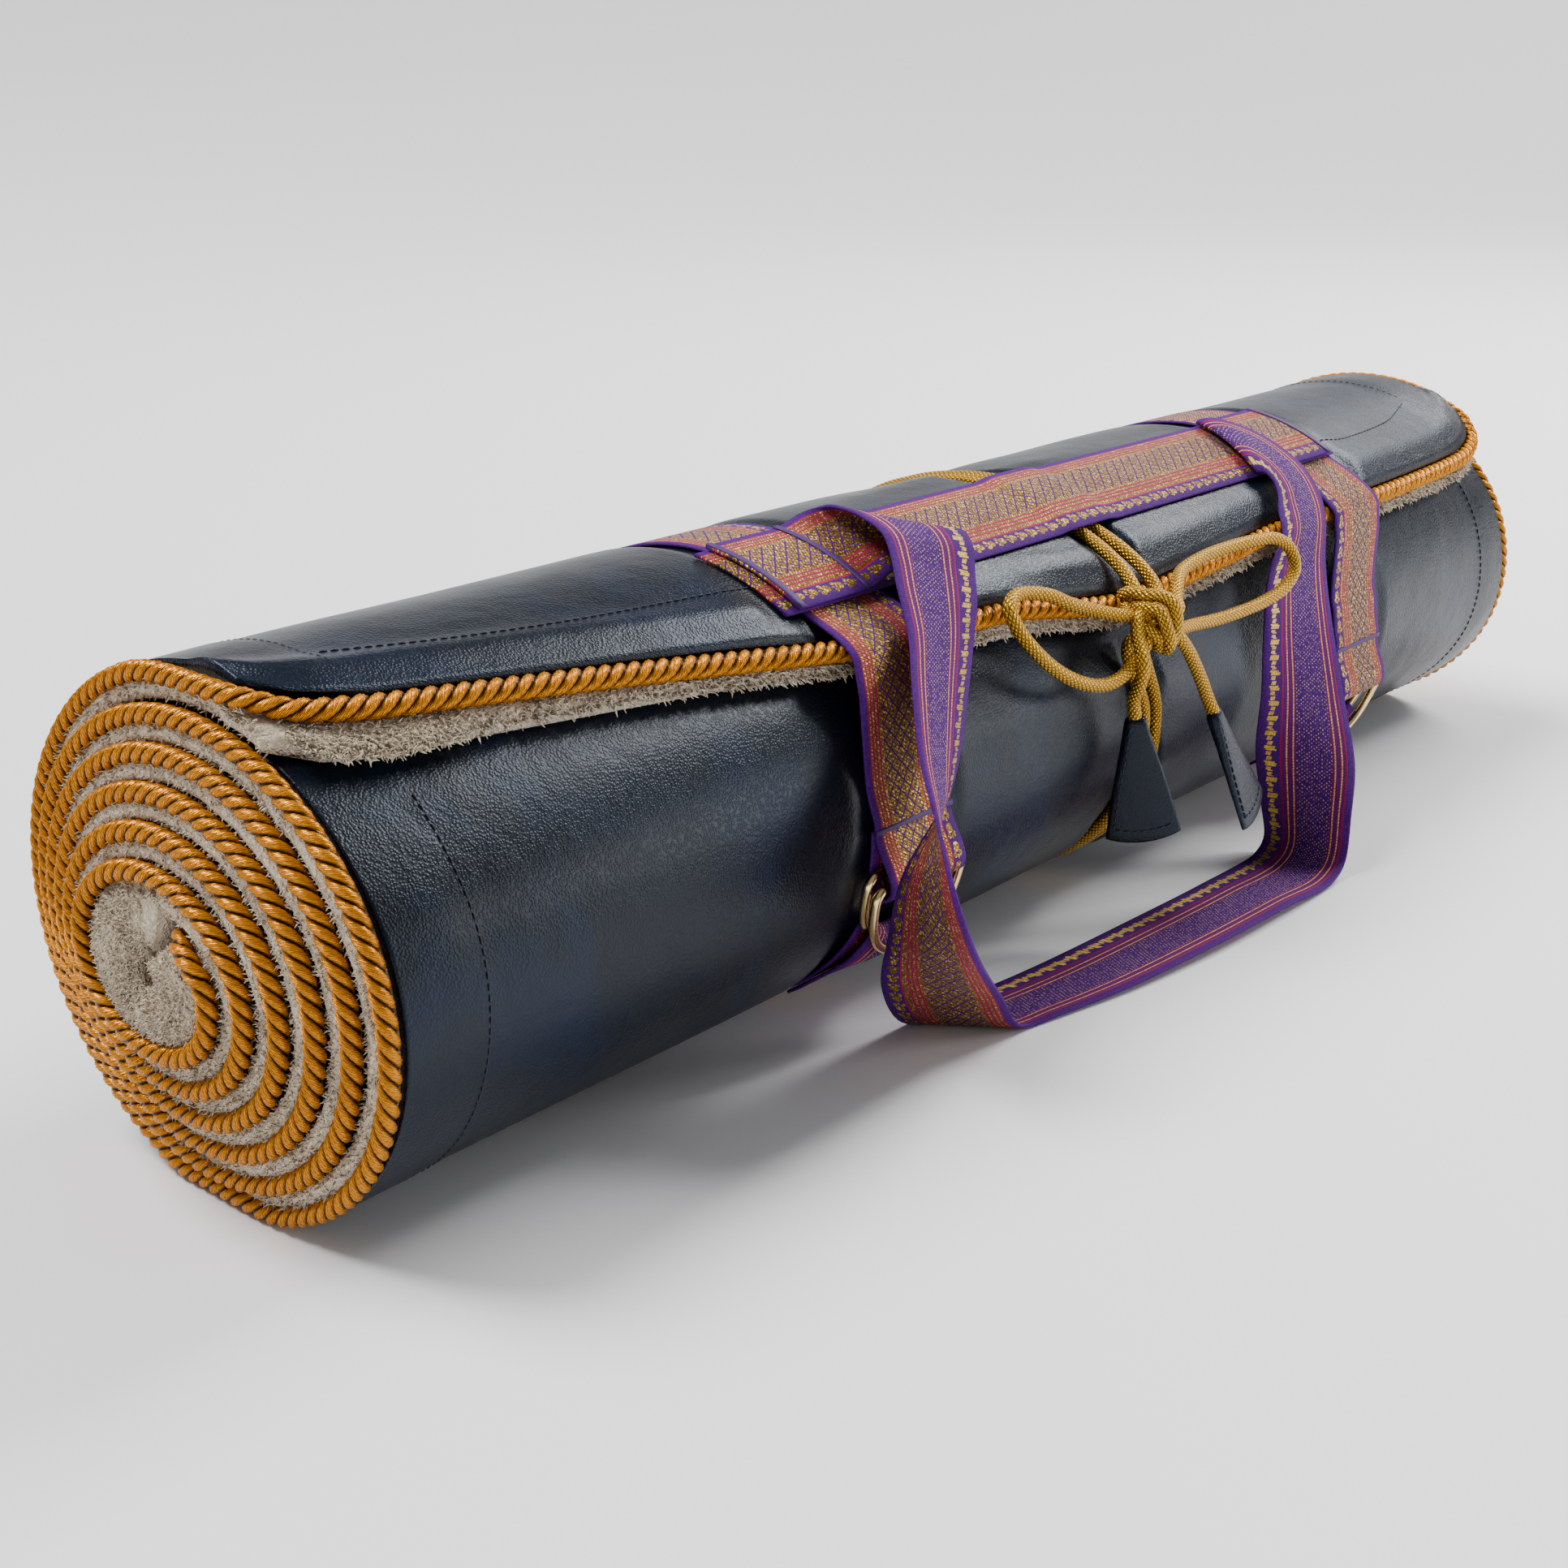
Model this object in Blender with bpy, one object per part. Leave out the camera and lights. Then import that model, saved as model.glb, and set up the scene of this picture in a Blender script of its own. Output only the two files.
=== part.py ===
"""A rolled yoga rug in its woven carry harness, as closed solids in metres with +Z up.

The roll lies along X on its flat spot. Its wound face points to -X and its front to -Y.
A turn number says where a point lies on the winding: it is whole at the top of the roll,
grows towards the front and then underneath, and rises from the core to the free flap.
Heights off the winding are measured outwards from the leather's outer surface.
"""

import math

import bmesh
import bpy
from mathutils import Vector

MM = 0.001

# Winding
STEPS = 20
PITCH = 9.8 * MM
TOP_RADIUS_Y = 85.3 * MM
TOP_RADIUS_Z = 78.5 * MM
CORE_SHIFT_Y = 4.1 * MM
TURNS_SHIFTED = 5.6
FIRST_TURN = 0.125
PLAIN_TURN = 5.875
FLAP_LIFT = 1.0 * MM
LIFT_START = 5.85
LIFT_END = 5.95
SMOOTH_FROM = 6.075
ROUND_TURN = 2.0 * math.pi * 80.0 * MM
SLIGHT = 0.01
HALF_STEP = math.cos(math.pi / STEPS)
AXIS_HEIGHT = (TOP_RADIUS_Z - 0.525 * PITCH) * HALF_STEP

# Sheet
SHEET_END = 323.5 * MM
CORE_PUSH = 17.3 * MM
CORNER_INSET = 8.0 * MM
LEATHER = 2.0 * MM
FLEECE_FACE = 2.3 * MM
NEST_GAP = 0.35 * MM
FLAP_NEST_GAP = 0.9 * MM
CORE_HOLE = 4.5 * MM
FLEECE_RIDGE = 1.8 * MM
RIDGE_UNDER_ROPE = 4.55 * MM
RIDGE_DEEPEST = 7.2 * MM
FLEECE_TUCK = 3.4 * MM
# Flap edge across the roll: x in mm, angle past the top in degrees
FLAP_EDGE = (
    (-323.5, 12.0), (-316.0, 19.0), (-300.0, 23.0), (-270.0, 27.0), (-225.0, 32.5),
    (-152.0, 41.3), (-125.0, 44.0), (-63.0, 46.0), (5.4, 53.0), (80.0, 50.5),
    (121.0, 48.5), (203.0, 48.2), (250.0, 47.4), (290.0, 46.0), (314.0, 41.0), (323.5, 33.0),
)
# How far the fleece hangs past the leather: x in mm, length in mm
FLEECE_HANG = ((-323.5, 18.0), (-290.0, 14.0), (-250.0, 9.5), (-170.0, 7.5), (323.5, 8.0))
# Fleece lip under the edging: ahead of the leather's edge in mm, depth in mm
FLEECE_LIP = ((-1.0, 2.3), (1.0, 4.7), (4.0, 5.9), (8.0, 5.2), (11.0, 6.2))

# Edging rope
ROPE_RADIUS = 3.6 * MM
ROPE_DEPTH = 1.65 * MM
ROPE_AHEAD = 3.95 * MM
ROPE_SIDES = 6
# How much farther out the edging runs round the core's corners and where it is pressed
ROPE_OUT_MORE = 0.8 * MM
FLOOR_GAP = 0.15 * MM
# Last turns of the edging's two spirals, before it follows the flap
NEAR_LAST = (5.925, 5.975)
FAR_LAST = (5.925, 5.975, 6.025, 6.06)
# The edging along the core: turn, depth in mm and how far inside the sheet's end in mm
CORE_CORNER = (0.112, 4.0, -1.5)
CORE_RUN = (0.085, 3.9, 7.0)

# Harness
STRAP_WIDTH = 38.0 * MM
STRAP_THICK = 1.1 * MM
# A belt's height off the leather beside it, and where it rises over the flap's rope
SNUG_OUT = -0.65 * MM
CREST_OUT = 2.85 * MM
CREST_HALF = 2.5
TURNED_UP = 76.0
# Each belt: its place in x, angle of the rings' bars and of the flap's rope
BELT_SIDES = {"near": (-125.0 * MM, 99.5, 47.0), "far": (176.0 * MM, 105.5, 51.0)}
BELT_DIP = 1.5 * MM
DIP_START = 5.15
DIP_FULL = 5.2
BELT_FLAT = 21.0 * MM
BELT_RAMP = 6.0 * MM
TIE_FLAT = 6.6 * MM
TIE_RAMP = 3.0 * MM
TOP_STRAP_ANGLE = 21.5
TOP_STRAP_BEND = 81.5 * MM
# The strap along the top: x in mm, height in mm. It rises over the tie.
TOP_STRAP = ((-153, 0.85), (-8, 0.85), (2, 2.2), (22, 2.2), (32, 0.85), (196, 0.85))
TIE_X = 12.0 * MM
TIE_RADIUS = 2.4 * MM
STRAND_SPREAD = 4.0 * MM
# Groove of the tie round the roll: angle in degrees, depth in mm
TIE_GROOVE = ((0, 5.2), (36, 5.2), (45, 1.0), (110, 1.0), (150, 5.2), (210, 5.2),
              (240, 2.0), (320, 2.0), (350, 5.2), (360, 5.2))

# D-rings
WIRE_RADIUS = 1.6 * MM
NEAR_WIRE = 2.8 * MM
RING_HALF = 21.6 * MM
RING_DEPTH = 26.0 * MM
RING_SQUARENESS = 2.6
RING_SIDES = 6

# Materials: colour, roughness, metallic
LEATHER_LOOK = ("navy_leather", (0.022, 0.032, 0.052), 0.42, 0.0)
FLEECE_LOOK = ("grey_fleece", (0.36, 0.31, 0.26), 0.95, 0.0)
ROPE_LOOK = ("gold_rope", (0.62, 0.28, 0.06), 0.45, 0.0)
BROCADE_LOOK = ("brocade", (0.30, 0.12, 0.24), 0.60, 0.1)
CORD_LOOK = ("metallic_cord", (0.62, 0.44, 0.14), 0.40, 0.4)
BRASS_LOOK = ("brass", (0.80, 0.60, 0.28), 0.22, 1.0)

# The sewn end above the rings: angle from the bar in degrees, height in mm
SEWN_LOOP = (
    (-11.0, -0.65), (0.0, -0.65), (1.7, -0.3), (4.5, 2.6), (5.4, 5.6), (3.9, 8.3), (1.5, 8.6),
    (-2.0, 6.3), (-5.5, 3.1), (-8.5, 1.3), (-10.5, 0.8), (-12.5, 0.75), (-15.5, 0.0),
    (-18.5, -0.65),
)
# The free end threaded through the rings: angle from the back bow in degrees, height in
# mm, how much of the bow's curve it follows, and its place from the wire's centre in mm
THREADED_END = (
    (30.0, -0.65, 0.0, 0.0, 0.0), (20.0, -0.4, 0.0, 0.0, 0.0), (12.0, 0.0, 0.1, 12.0, -3.4),
    (7.0, 0.3, 0.5, 8.0, -3.2), (3.0, 0.3, 1.0, 4.0, -2.9), (0.0, 0.0, 1.0, 1.2, -2.7),
    (0.0, 0.0, 1.0, -1.6, -2.1), (0.0, 0.0, 1.0, -2.7, 0.0), (0.0, 0.0, 1.0, -1.6, 2.1),
    (0.0, 0.0, 1.0, 1.2, 2.6), (4.0, 5.0, 1.0, 5.0, 1.8), (8.0, 3.9, 0.6, 10.0, 0.6),
    (14.0, 2.2, 0.1, 16.0, 0.0), (21.0, 1.1, 0.0, 0.0, 0.0), (29.0, 0.9, 0.0, 0.0, 0.0),
)
BACK_BOW_ANGLE = 19.0
BACK_BOW_OUT = 3.4 * MM
FRONT_BOW_ANGLE = 21.5
FRONT_BOW_OUT = 10.0 * MM
BACK_BAR_OUT = 1.95 * MM
FRONT_BAR_OUT = 5.75 * MM
FRONT_BAR_STEP = 2.5
RING_CORNER = 3.5 * MM
# How much narrower the free end gets where it lies in the bows' curve
DRAWN_IN = 0.14

# Rows across the handle, in mm: the plain edge, then the edge with the flower border
NEAR_ARCH = (
    ((-104, -15, 158.0), (-94, -49, 145.5)),
    ((-100, -21, 160.0), (-81, -49.5, 148.0)),
    ((-102, -30, 161.0), (-73, -50.5, 151.0)),
    ((-105, -39, 160.0), (-68.5, -54, 151.5)),
    ((-108, -49, 157.0), (-69, -59, 147.0)),
    ((-112, -56, 151.0), (-73, -63, 138.5)),
)
NEAR_LEG = (
    ((-116, -62, 144), (-78, -67, 132)),
    ((-122, -72, 132), (-84, -70, 124)),
    ((-134, -83, 119), (-96, -77, 108)),
    ((-145, -95, 102), (-108, -83, 92)),
    ((-151, -106, 88), (-120, -87, 81)),
    ((-160, -121, 69), (-143, -88, 62)),
    ((-152, -121, 51), (-146, -87, 45)),
    ((-118, -108, 20), (-141, -80, 23)),
)
FLOOR_RUN = (
    ((-100, -107, 2.4), (-122, -73, 1.2)),
    ((-80, -112, 1.6), (-100, -74, 0.9)),
    ((-48, -118, 2.4), (-62, -79, 0.9)),
    ((0, -122, 3.6), (0, -84, 0.9)),
    ((45, -123.5, 3.4), (45, -86, 0.9)),
    ((78, -123, 1.8), (84, -86.5, 1.2)),
)
FAR_LEG = (
    ((91, -121, 6), (96, -85, 6)),
    ((98, -118, 22), (97, -82.5, 19)),
    ((110, -110, 38), (95, -81.5, 40)),
    ((123, -98, 62), (92, -81.5, 66)),
    ((127, -90, 88), (90, -80, 92)),
    ((136, -80, 108), (100, -76, 110)),
)
# Rows of the flat fold at the far end: x in mm, angle in degrees and height in mm
# of the plain edge, then of the flower edge
FAR_FOLD = (
    ((146, 53.0, 4.6), (110, 54.0, 4.6)),
    ((152, 46.0, 5.6), (116, 48.0, 5.6)),
    ((155, 37.0, 6.4), (123, 43.5, 6.4)),
    ((154, 23.0, 6.4), (127.0, 39.8, 6.6)),
    ((148.5, 12.0, 6.0), (127.5, 36.8, 6.2)),
    ((145.5, 9.0, 4.3), (127.5, 35.2, 4.4)),
    ((147.5, 8.4, 2.8), (133.0, 34.9, 2.8)),
)
NEAR_STITCH_X = -113.5
FAR_STITCH_X = 151.5
HANDLE_STEPS = 3
HANDLE_OFF_FLOOR = 0.35 * MM

ACROSS = (0.0, 0.25, 0.5, 0.75, 1.0)

# Tie: knot, bow and tails, in mm
KNOT_CENTRE = Vector((0.5, -83.0, 112.5)) * MM
KNOT_HALVES = Vector((9.0, 6.5, 8.0)) * MM
PORT_GAP = 0.4 * MM
LEFT_LOOP = (
    (-14, -80, 117), (-24, -77, 120), (-37, -75, 124.5), (-45, -72, 128.5), (-56, -69.5, 131),
    (-63, -70, 131), (-68, -72, 128.5), (-67, -75, 122), (-62, -79, 114), (-53, -82, 106),
    (-42, -84.5, 100), (-30, -86, 97), (-20, -86.5, 98), (-12, -87, 103),
)
RIGHT_LOOP = (
    (15, -85, 117.5), (22, -81, 121.5), (31, -77, 123.5), (46, -76, 125.5), (62, -77, 126.5),
    (78, -80, 127), (90, -83, 126), (96, -86, 121), (96, -88, 114), (89, -88, 108.5),
    (76, -87, 105.5), (60, -86, 104.5), (44, -85, 104.5), (30, -84.5, 105.5), (18, -85.5, 106.5),
)
LEFT_TAIL = ((-13, -92.5, 109), (-14.5, -91.7, 101), (-13.3, -89.3, 93.5))
RIGHT_TAIL = ((11, -93, 102), (17, -93, 95), (24, -92.6, 86.5))
# The tails run straight at the tips over this length and end this far off them
TAIL_STRAIGHT = 6.0 * MM
TAIL_GAP = 0.35 * MM
# Directions from the knot's centre in which the cords leave it
PORTS = {
    "strand_left_top": (0.11, 0.60, 0.80), "strand_right_top": (0.80, 0.35, 0.48),
    "strand_left_low": (-0.42, 0.40, -0.82), "strand_right_low": (0.42, 0.40, -0.82),
    "loop_left_top": (-0.94, 0.15, 0.32), "loop_left_low": (-0.80, -0.35, -0.49),
    "loop_right_top": (0.85, -0.45, 0.28), "loop_right_low": (0.86, -0.25, -0.45),
    "tail_left": (-0.70, -0.68, 0.22), "tail_right": (0.36, -0.85, -0.38),
}

# Where each strand of the tie crosses the flap: x in mm, turn, height in mm
STRAND_CREST = {
    "left": ((2.5, 6.150, 4.9), (4.5, 6.138, 3.7), (6.0, 6.120, 1.6), (7.5, 6.100, -1.0)),
    "right": ((13.0, 6.158, 5.6), (15.0, 6.143, 4.3), (15.5, 6.120, 1.6), (16.0, 6.100, -1.0)),
}

# Leather tips: length, then share of the length, width and thickness in mm at each ring
TIP_LENGTH = 44.0 * MM
TIP_RINGS = ((0.0, 7.0, 5.6), (0.25, 12.0, 5.0), (0.6, 19.5, 4.0), (1.0, 27.0, 3.2))
TIP_FOOT_BOW = 2.5 * MM
# Apex, foot and direction across of each tip, in mm
TIPS = {
    "left": ((-11.7, -87.2, 81.5), (-8.2, -91.0, 39.8), (0.66, -0.75, -0.2)),
    "right": ((30.6, -93.8, 75.0), (48.0, -105.0, 32.0), (0.75, 0.6, 0.2)),
}


def clear_scene() -> None:
    """Empties the scene that the script starts in."""
    for thing in list(bpy.data.objects):
        bpy.data.objects.remove(thing, do_unlink=True)


def material(look: tuple) -> bpy.types.Material:
    """The Principled material of one look, made on its first use."""
    name, colour, roughness, metallic = look
    found = bpy.data.materials.get(name)
    if found:
        return found
    made = bpy.data.materials.new(name)
    made.use_nodes = True
    shader = made.node_tree.nodes["Principled BSDF"]
    shader.inputs["Base Color"].default_value = (*colour, 1.0)
    shader.inputs["Roughness"].default_value = roughness
    shader.inputs["Metallic"].default_value = metallic
    return made


def add_object(name: str, bm: bmesh.types.BMesh, look: tuple, sharp: float = 40.0):
    """Turns a bmesh into a named object with outward, smooth-shaded faces."""
    bmesh.ops.recalc_face_normals(bm, faces=bm.faces)
    if bm.calc_volume(signed=True) < 0:
        bmesh.ops.reverse_faces(bm, faces=bm.faces)
    mesh = bpy.data.meshes.new(name)
    bm.to_mesh(mesh)
    bm.free()
    mesh.shade_smooth()
    mesh.set_sharp_from_angle(angle=math.radians(sharp))
    mesh.materials.append(material(look))
    made = bpy.data.objects.new(name, mesh)
    bpy.context.scene.collection.objects.link(made)
    return made


def ease(start: float, end: float, value: float) -> float:
    """A smooth step from 0 at start to 1 at end."""
    part = min(max((value - start) / (end - start), 0.0), 1.0)
    return part * part * (3.0 - 2.0 * part)


def lookup(table: tuple, value: float) -> float:
    """Straight-line reading of a two-column table."""
    if value <= table[0][0]:
        return table[0][1]
    for (x0, y0), (x1, y1) in zip(table, table[1:]):
        if value <= x1:
            return y0 + (y1 - y0) * (value - x0) / (x1 - x0)
    return table[-1][1]


def surface(turn: float, out: float = 0.0) -> tuple[float, float]:
    """Point (y, z) at a height off the leather's outer surface at a turn."""
    inside = (6.0 - turn) * PITCH
    angle = 2.0 * math.pi * turn
    height = out + FLAP_LIFT * ease(LIFT_START, LIFT_END, turn)
    y = CORE_SHIFT_Y * (6.0 - turn) / TURNS_SHIFTED
    y -= (TOP_RADIUS_Y - inside + height) * math.sin(angle)
    z = AXIS_HEIGHT + (TOP_RADIUS_Z - inside + height) * math.cos(angle)
    bottom = AXIS_HEIGHT + (TOP_RADIUS_Z - inside) * math.cos(angle)
    return y, z + max(0.0, -bottom)


def skin(turn: float, out: float = 0.0) -> tuple[float, float]:
    """Like surface, but on the flat steps between the winding's rows."""
    place = turn * STEPS - 0.5
    low = math.floor(place)
    part = place - low
    if part < 1e-6 or turn > SMOOTH_FROM:
        return surface(turn, out)
    y0, z0 = surface((low + 0.5) / STEPS, out)
    y1, z1 = surface((low + 1.5) / STEPS, out)
    return y0 + (y1 - y0) * part, z0 + (z1 - z0) * part


def on_roll(x: float, turn: float, out: float) -> Vector:
    """A point in space on the winding's flat steps."""
    return Vector((x, *skin(turn, out)))


def sheet_ends(turn: float) -> tuple[float, float]:
    """The sheet's two ends in x at a turn: the core is pushed towards -X."""
    push = CORE_PUSH * (6.0 - turn) / TURNS_SHIFTED
    return -SHEET_END - push, SHEET_END - push


def flap_turn(x: float) -> float:
    """Turn number of the leather's free edge at x."""
    return 6.0 + lookup(FLAP_EDGE, x / MM) / 360.0


def groove(x: float, turn: float) -> float:
    """Depth that the harness presses into the roll's outer turn."""
    if turn < DIP_START:
        return 0.0
    start = ease(DIP_START, DIP_FULL, turn)
    nearest = min(abs(x - centre) for centre, _, _ in BELT_SIDES.values())
    belt = BELT_DIP * (1.0 - min(max((nearest - BELT_FLAT) / BELT_RAMP, 0.0), 1.0))
    depth = lookup(TIE_GROOVE, (turn % 1.0) * 360.0) * MM
    beside = abs(x - TIE_X)
    tie = depth * (1.0 - min(max((beside - TIE_FLAT) / TIE_RAMP, 0.0), 1.0))
    return start * (belt + tie)


def rope_depth(turn: float) -> float:
    """Depth of the edging's centre, more where the roll stands on its edge."""
    low = surface(turn, 0.0)[1] - ROPE_DEPTH * math.cos(2.0 * math.pi * turn)
    return ROPE_DEPTH + max(0.0, ROPE_RADIUS + FLOOR_GAP - low)


def fleece_bed(turn: float) -> tuple[float, float]:
    """Point (y, z) of the fleece's inner face, which nests on the turn inside it."""
    if turn < 1.0:
        angle = 2.0 * math.pi * turn
        shift = CORE_SHIFT_Y * (6.0 - turn) / TURNS_SHIFTED
        return shift - CORE_HOLE * math.sin(angle), AXIS_HEIGHT + CORE_HOLE * math.cos(angle)
    return surface(turn - 1.0, NEST_GAP + FLAP_NEST_GAP * ease(LIFT_START, LIFT_END, turn))


def stations(turn: float) -> list[float]:
    """Where a row of the sheet has points in x: close together at the harness."""
    left, right = sheet_ends(turn)
    if turn < 5.0:
        return [left, right]
    inner = [-316, -300, -270, -225, -152, -146, -104, -98, -63, 2.4, 5.4, 18.6, 21.6,
             80, 121, 149, 155, 197, 203, 250, 290, 314]
    return [left] + [value * MM for value in inner] + [right]


def row_turns() -> list[float]:
    """Turn numbers of the sheet's regular rows."""
    first = round(FIRST_TURN * STEPS - 0.5)
    last = round(PLAIN_TURN * STEPS - 0.5)
    return [(index + 0.5) / STEPS for index in range(first, last + 1)]


def flap_rows() -> list:
    """Turn at x for each leather row of the flap, which keeps the steps where it can."""
    count = 6
    rows = []
    for index in range(1, count + 1):
        step = PLAIN_TURN + index / STEPS

        def row(x: float, step: float = step, index: int = index) -> float:
            end = flap_turn(x)
            return end if index == count else min(step, end - (count - index) * 0.004)

        rows.append(row)
    return rows


def lip_rows() -> list:
    """Turn and depth at x for each row of the fleece that hangs past the leather."""
    rows = []
    for ahead, depth in FLEECE_LIP:

        def row(x: float, ahead: float = ahead) -> float:
            hang = lookup(FLEECE_HANG, x / MM)
            reach = ahead if ahead <= 4.0 else 4.0 + (ahead - 4.0) * (hang - 4.0) / 7.0
            return flap_turn(x) + reach * MM / ROUND_TURN

        rows.append((row, depth * MM))
    return rows


def inset_row(xs: list[float], turn: float) -> list[float]:
    """Rounds the sheet's two inner corners by drawing its first row in."""
    if turn > FIRST_TURN + SLIGHT:
        return xs
    return [xs[0] + CORNER_INSET, xs[-1] - CORNER_INSET]


def leather_loop(xs: list[float], turn_at) -> list:
    """One closed row of the leather: outer line, then inner line back."""
    outer, inner = [], []
    for x in xs:
        turn = turn_at(x)
        dip = groove(x, turn)
        outer.append(Vector((x, *surface(turn, -dip))))
        inner.append(Vector((x, *surface(turn, -LEATHER - dip))))
    return [(outer, 0), (list(reversed(inner)), 2)]


def fleece_loop(xs: list[float], turn_at, depth: float) -> list:
    """One closed row of the fleece: its face, a round end, its bed and a round end."""
    face, bed = [], []
    for x in xs:
        turn = turn_at(x)
        face.append(Vector((x, *surface(turn, -depth - groove(x, turn)))))
    ends = [xs[0], xs[-1]]
    low = rope_depth(turn_at(xs[0]))
    ridge_depth = min(low + RIDGE_UNDER_ROPE, RIDGE_DEEPEST)
    ridge_out = FLEECE_RIDGE if low < ROPE_DEPTH + SLIGHT * MM else 0.0
    ridge = [
        Vector((x + side * ridge_out, *surface(turn_at(x), -ridge_depth)))
        for x, side in zip(ends, (-1, 1))
    ]
    for x in xs:
        inside = min(max(x, ends[0] + FLEECE_TUCK), ends[1] - FLEECE_TUCK)
        bed.append(Vector((inside, *fleece_bed(turn_at(x)))))
    return [(face, 0), ([ridge[1]], 1), (list(reversed(bed)), 2), ([ridge[0]], 3)]


def keyed(loop: list) -> list[tuple[float, Vector]]:
    """Gives each point of a closed row its place from 0 to 4 round the row."""
    points = []
    for line, side in loop:
        if len(line) == 1:
            points.append((side + 0.5, line[0]))
            continue
        start, end = line[0].x, line[-1].x
        for point in line:
            points.append((side + (point.x - start) / (end - start), point))
    return points


def loft_rows(name: str, loops: list, look: tuple):
    """Joins closed rows of unequal point counts into one closed solid."""
    bm = bmesh.new()
    rows = [[(key, bm.verts.new(point)) for key, point in keyed(loop)] for loop in loops]
    for first, second in zip(rows, rows[1:]):
        zip_rows(bm, first, second)
    bm.faces.new([vert for _, vert in rows[0]])
    bm.faces.new([vert for _, vert in reversed(rows[-1])])
    bmesh.ops.triangulate(bm, faces=[face for face in bm.faces if len(face.verts) > 4])
    return add_object(name, bm, look)


def zip_rows(bm: bmesh.types.BMesh, first: list, second: list) -> None:
    """Fills the band between two closed rows, stepping along whichever is behind."""
    i = j = 0
    while i < len(first) or j < len(second):
        next_i = first[i + 1][0] if i + 1 < len(first) else 4.0
        next_j = second[j + 1][0] if j + 1 < len(second) else 4.0
        a, b = first[i % len(first)][1], second[j % len(second)][1]
        step_i = i < len(first) and (j >= len(second) or next_i <= next_j + 1e-6)
        step_j = j < len(second) and (i >= len(first) or next_j <= next_i + 1e-6)
        after_a = first[(i + 1) % len(first)][1]
        after_b = second[(j + 1) % len(second)][1]
        if step_i and step_j:
            if after_a.co.x > a.co.x:
                bm.faces.new((a, b, after_b))
                bm.faces.new((a, after_b, after_a))
            else:
                bm.faces.new((a, b, after_a))
                bm.faces.new((b, after_b, after_a))
        elif step_j:
            bm.faces.new((a, b, after_b))
        else:
            bm.faces.new((a, b, after_a))
        i += step_i
        j += step_j


def build_sheet() -> None:
    """The leather and the fleece behind it, wound together."""
    leather, fleece = [], []
    for turn in row_turns():
        xs = inset_row(stations(turn), turn)
        leather.append(leather_loop(xs, lambda x, turn=turn: turn))
        fleece.append(fleece_loop(xs, lambda x, turn=turn: turn, FLEECE_FACE))
    xs = stations(6.0)
    rows = flap_rows()
    for row in rows:
        leather.append(leather_loop(xs, row))
    for row in rows[:-1]:
        fleece.append(fleece_loop(xs, row, FLEECE_FACE))
    for row, depth in lip_rows():
        fleece.append(fleece_loop(xs, row, depth))
    loft_rows("leather_sheet", leather, LEATHER_LOOK)
    loft_rows("fleece_lining", fleece, FLEECE_LOOK)


def tube(name: str, points: list[Vector], radius: float, sides: int, look: tuple):
    """A closed round loop of rope or wire along points."""
    bm = bmesh.new()
    count = len(points)
    tangents = [(points[(i + 1) % count] - points[i - 1]).normalized() for i in range(count)]
    normals = [tangents[0].orthogonal().normalized()]
    for previous, tangent in zip(tangents, tangents[1:] + tangents[:1]):
        turn = previous.rotation_difference(tangent)
        normals.append(turn @ normals[-1])
    spin = normals[0].angle(normals[-1])
    if normals[0].cross(normals[-1]).dot(tangents[0]) > 0:
        spin = -spin
    rings = []
    for index, (point, tangent, normal) in enumerate(zip(points, tangents, normals)):
        across = tangent.cross(normal)
        ring = []
        for side in range(sides):
            angle = 2.0 * math.pi * side / sides + spin * index / count
            offset = normal * math.cos(angle) + across * math.sin(angle)
            ring.append(bm.verts.new(point + radius * offset))
        rings.append(ring)
    for index in range(count):
        ring, after = rings[index], rings[(index + 1) % count]
        for side in range(sides):
            other = (side + 1) % sides
            bm.faces.new((ring[side], ring[other], after[other], after[side]))
    return add_object(name, bm, look, 80.0)


def flap_rope_points() -> list[Vector]:
    """Centre of the edging along the flap's free edge, in the flat sheet's own plane."""
    flat = [(x * MM, 6.0 * ROUND_TURN + angle / 360.0 * ROUND_TURN) for x, angle in FLAP_EDGE]
    before = (-SHEET_END, 6.0 * ROUND_TURN)
    after = (SHEET_END, 6.0 * ROUND_TURN)
    padded = [before] + flat + [after]
    points = []
    for index in range(1, len(padded) - 1):
        (x0, s0), (x, s), (x1, s1) = padded[index - 1 : index + 2]
        first = Vector((x - x0, s - s0)).normalized()
        second = Vector((x1 - x, s1 - s)).normalized()
        along = (first + second).normalized()
        stretch = ROPE_AHEAD / max(along.dot(first), 0.8)
        place = Vector((x, s)) + Vector((-along.y, along.x)) * stretch
        points.append(Vector((place.x, *surface(place.y / ROUND_TURN, -ROPE_DEPTH))))
    return points


def build_rope() -> None:
    """One rope round the whole edge: a spiral at each end, the flap and the core."""
    turns = [turn for turn in row_turns() if turn > FIRST_TURN + SLIGHT]
    near, far = [], []
    for line, last, side in ((near, NEAR_LAST, 0), (far, FAR_LAST, 1)):
        for turn in turns + list(last):
            end = sheet_ends(min(turn, 6.0))[side]
            depth = rope_depth(turn) if turn < 6.0 else ROPE_DEPTH
            pressed = turn < 0.2 or depth > ROPE_DEPTH + SLIGHT * MM
            ahead = ROPE_AHEAD + (ROPE_OUT_MORE if pressed else 0.0)
            line.append(Vector((end + (2 * side - 1) * ahead, *surface(turn, -depth))))
    core = []
    for side, places in ((1, (CORE_CORNER, CORE_RUN)), (0, (CORE_RUN, CORE_CORNER))):
        for turn, depth, inside in places:
            x = sheet_ends(FIRST_TURN)[side] - (2 * side - 1) * inside * MM
            core.append(Vector((x, *surface(turn, -depth * MM))))
    loop = near + flap_rope_points() + list(reversed(far)) + core
    tube("rope_trim", loop, ROPE_RADIUS, ROPE_SIDES, ROPE_LOOK)


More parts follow.
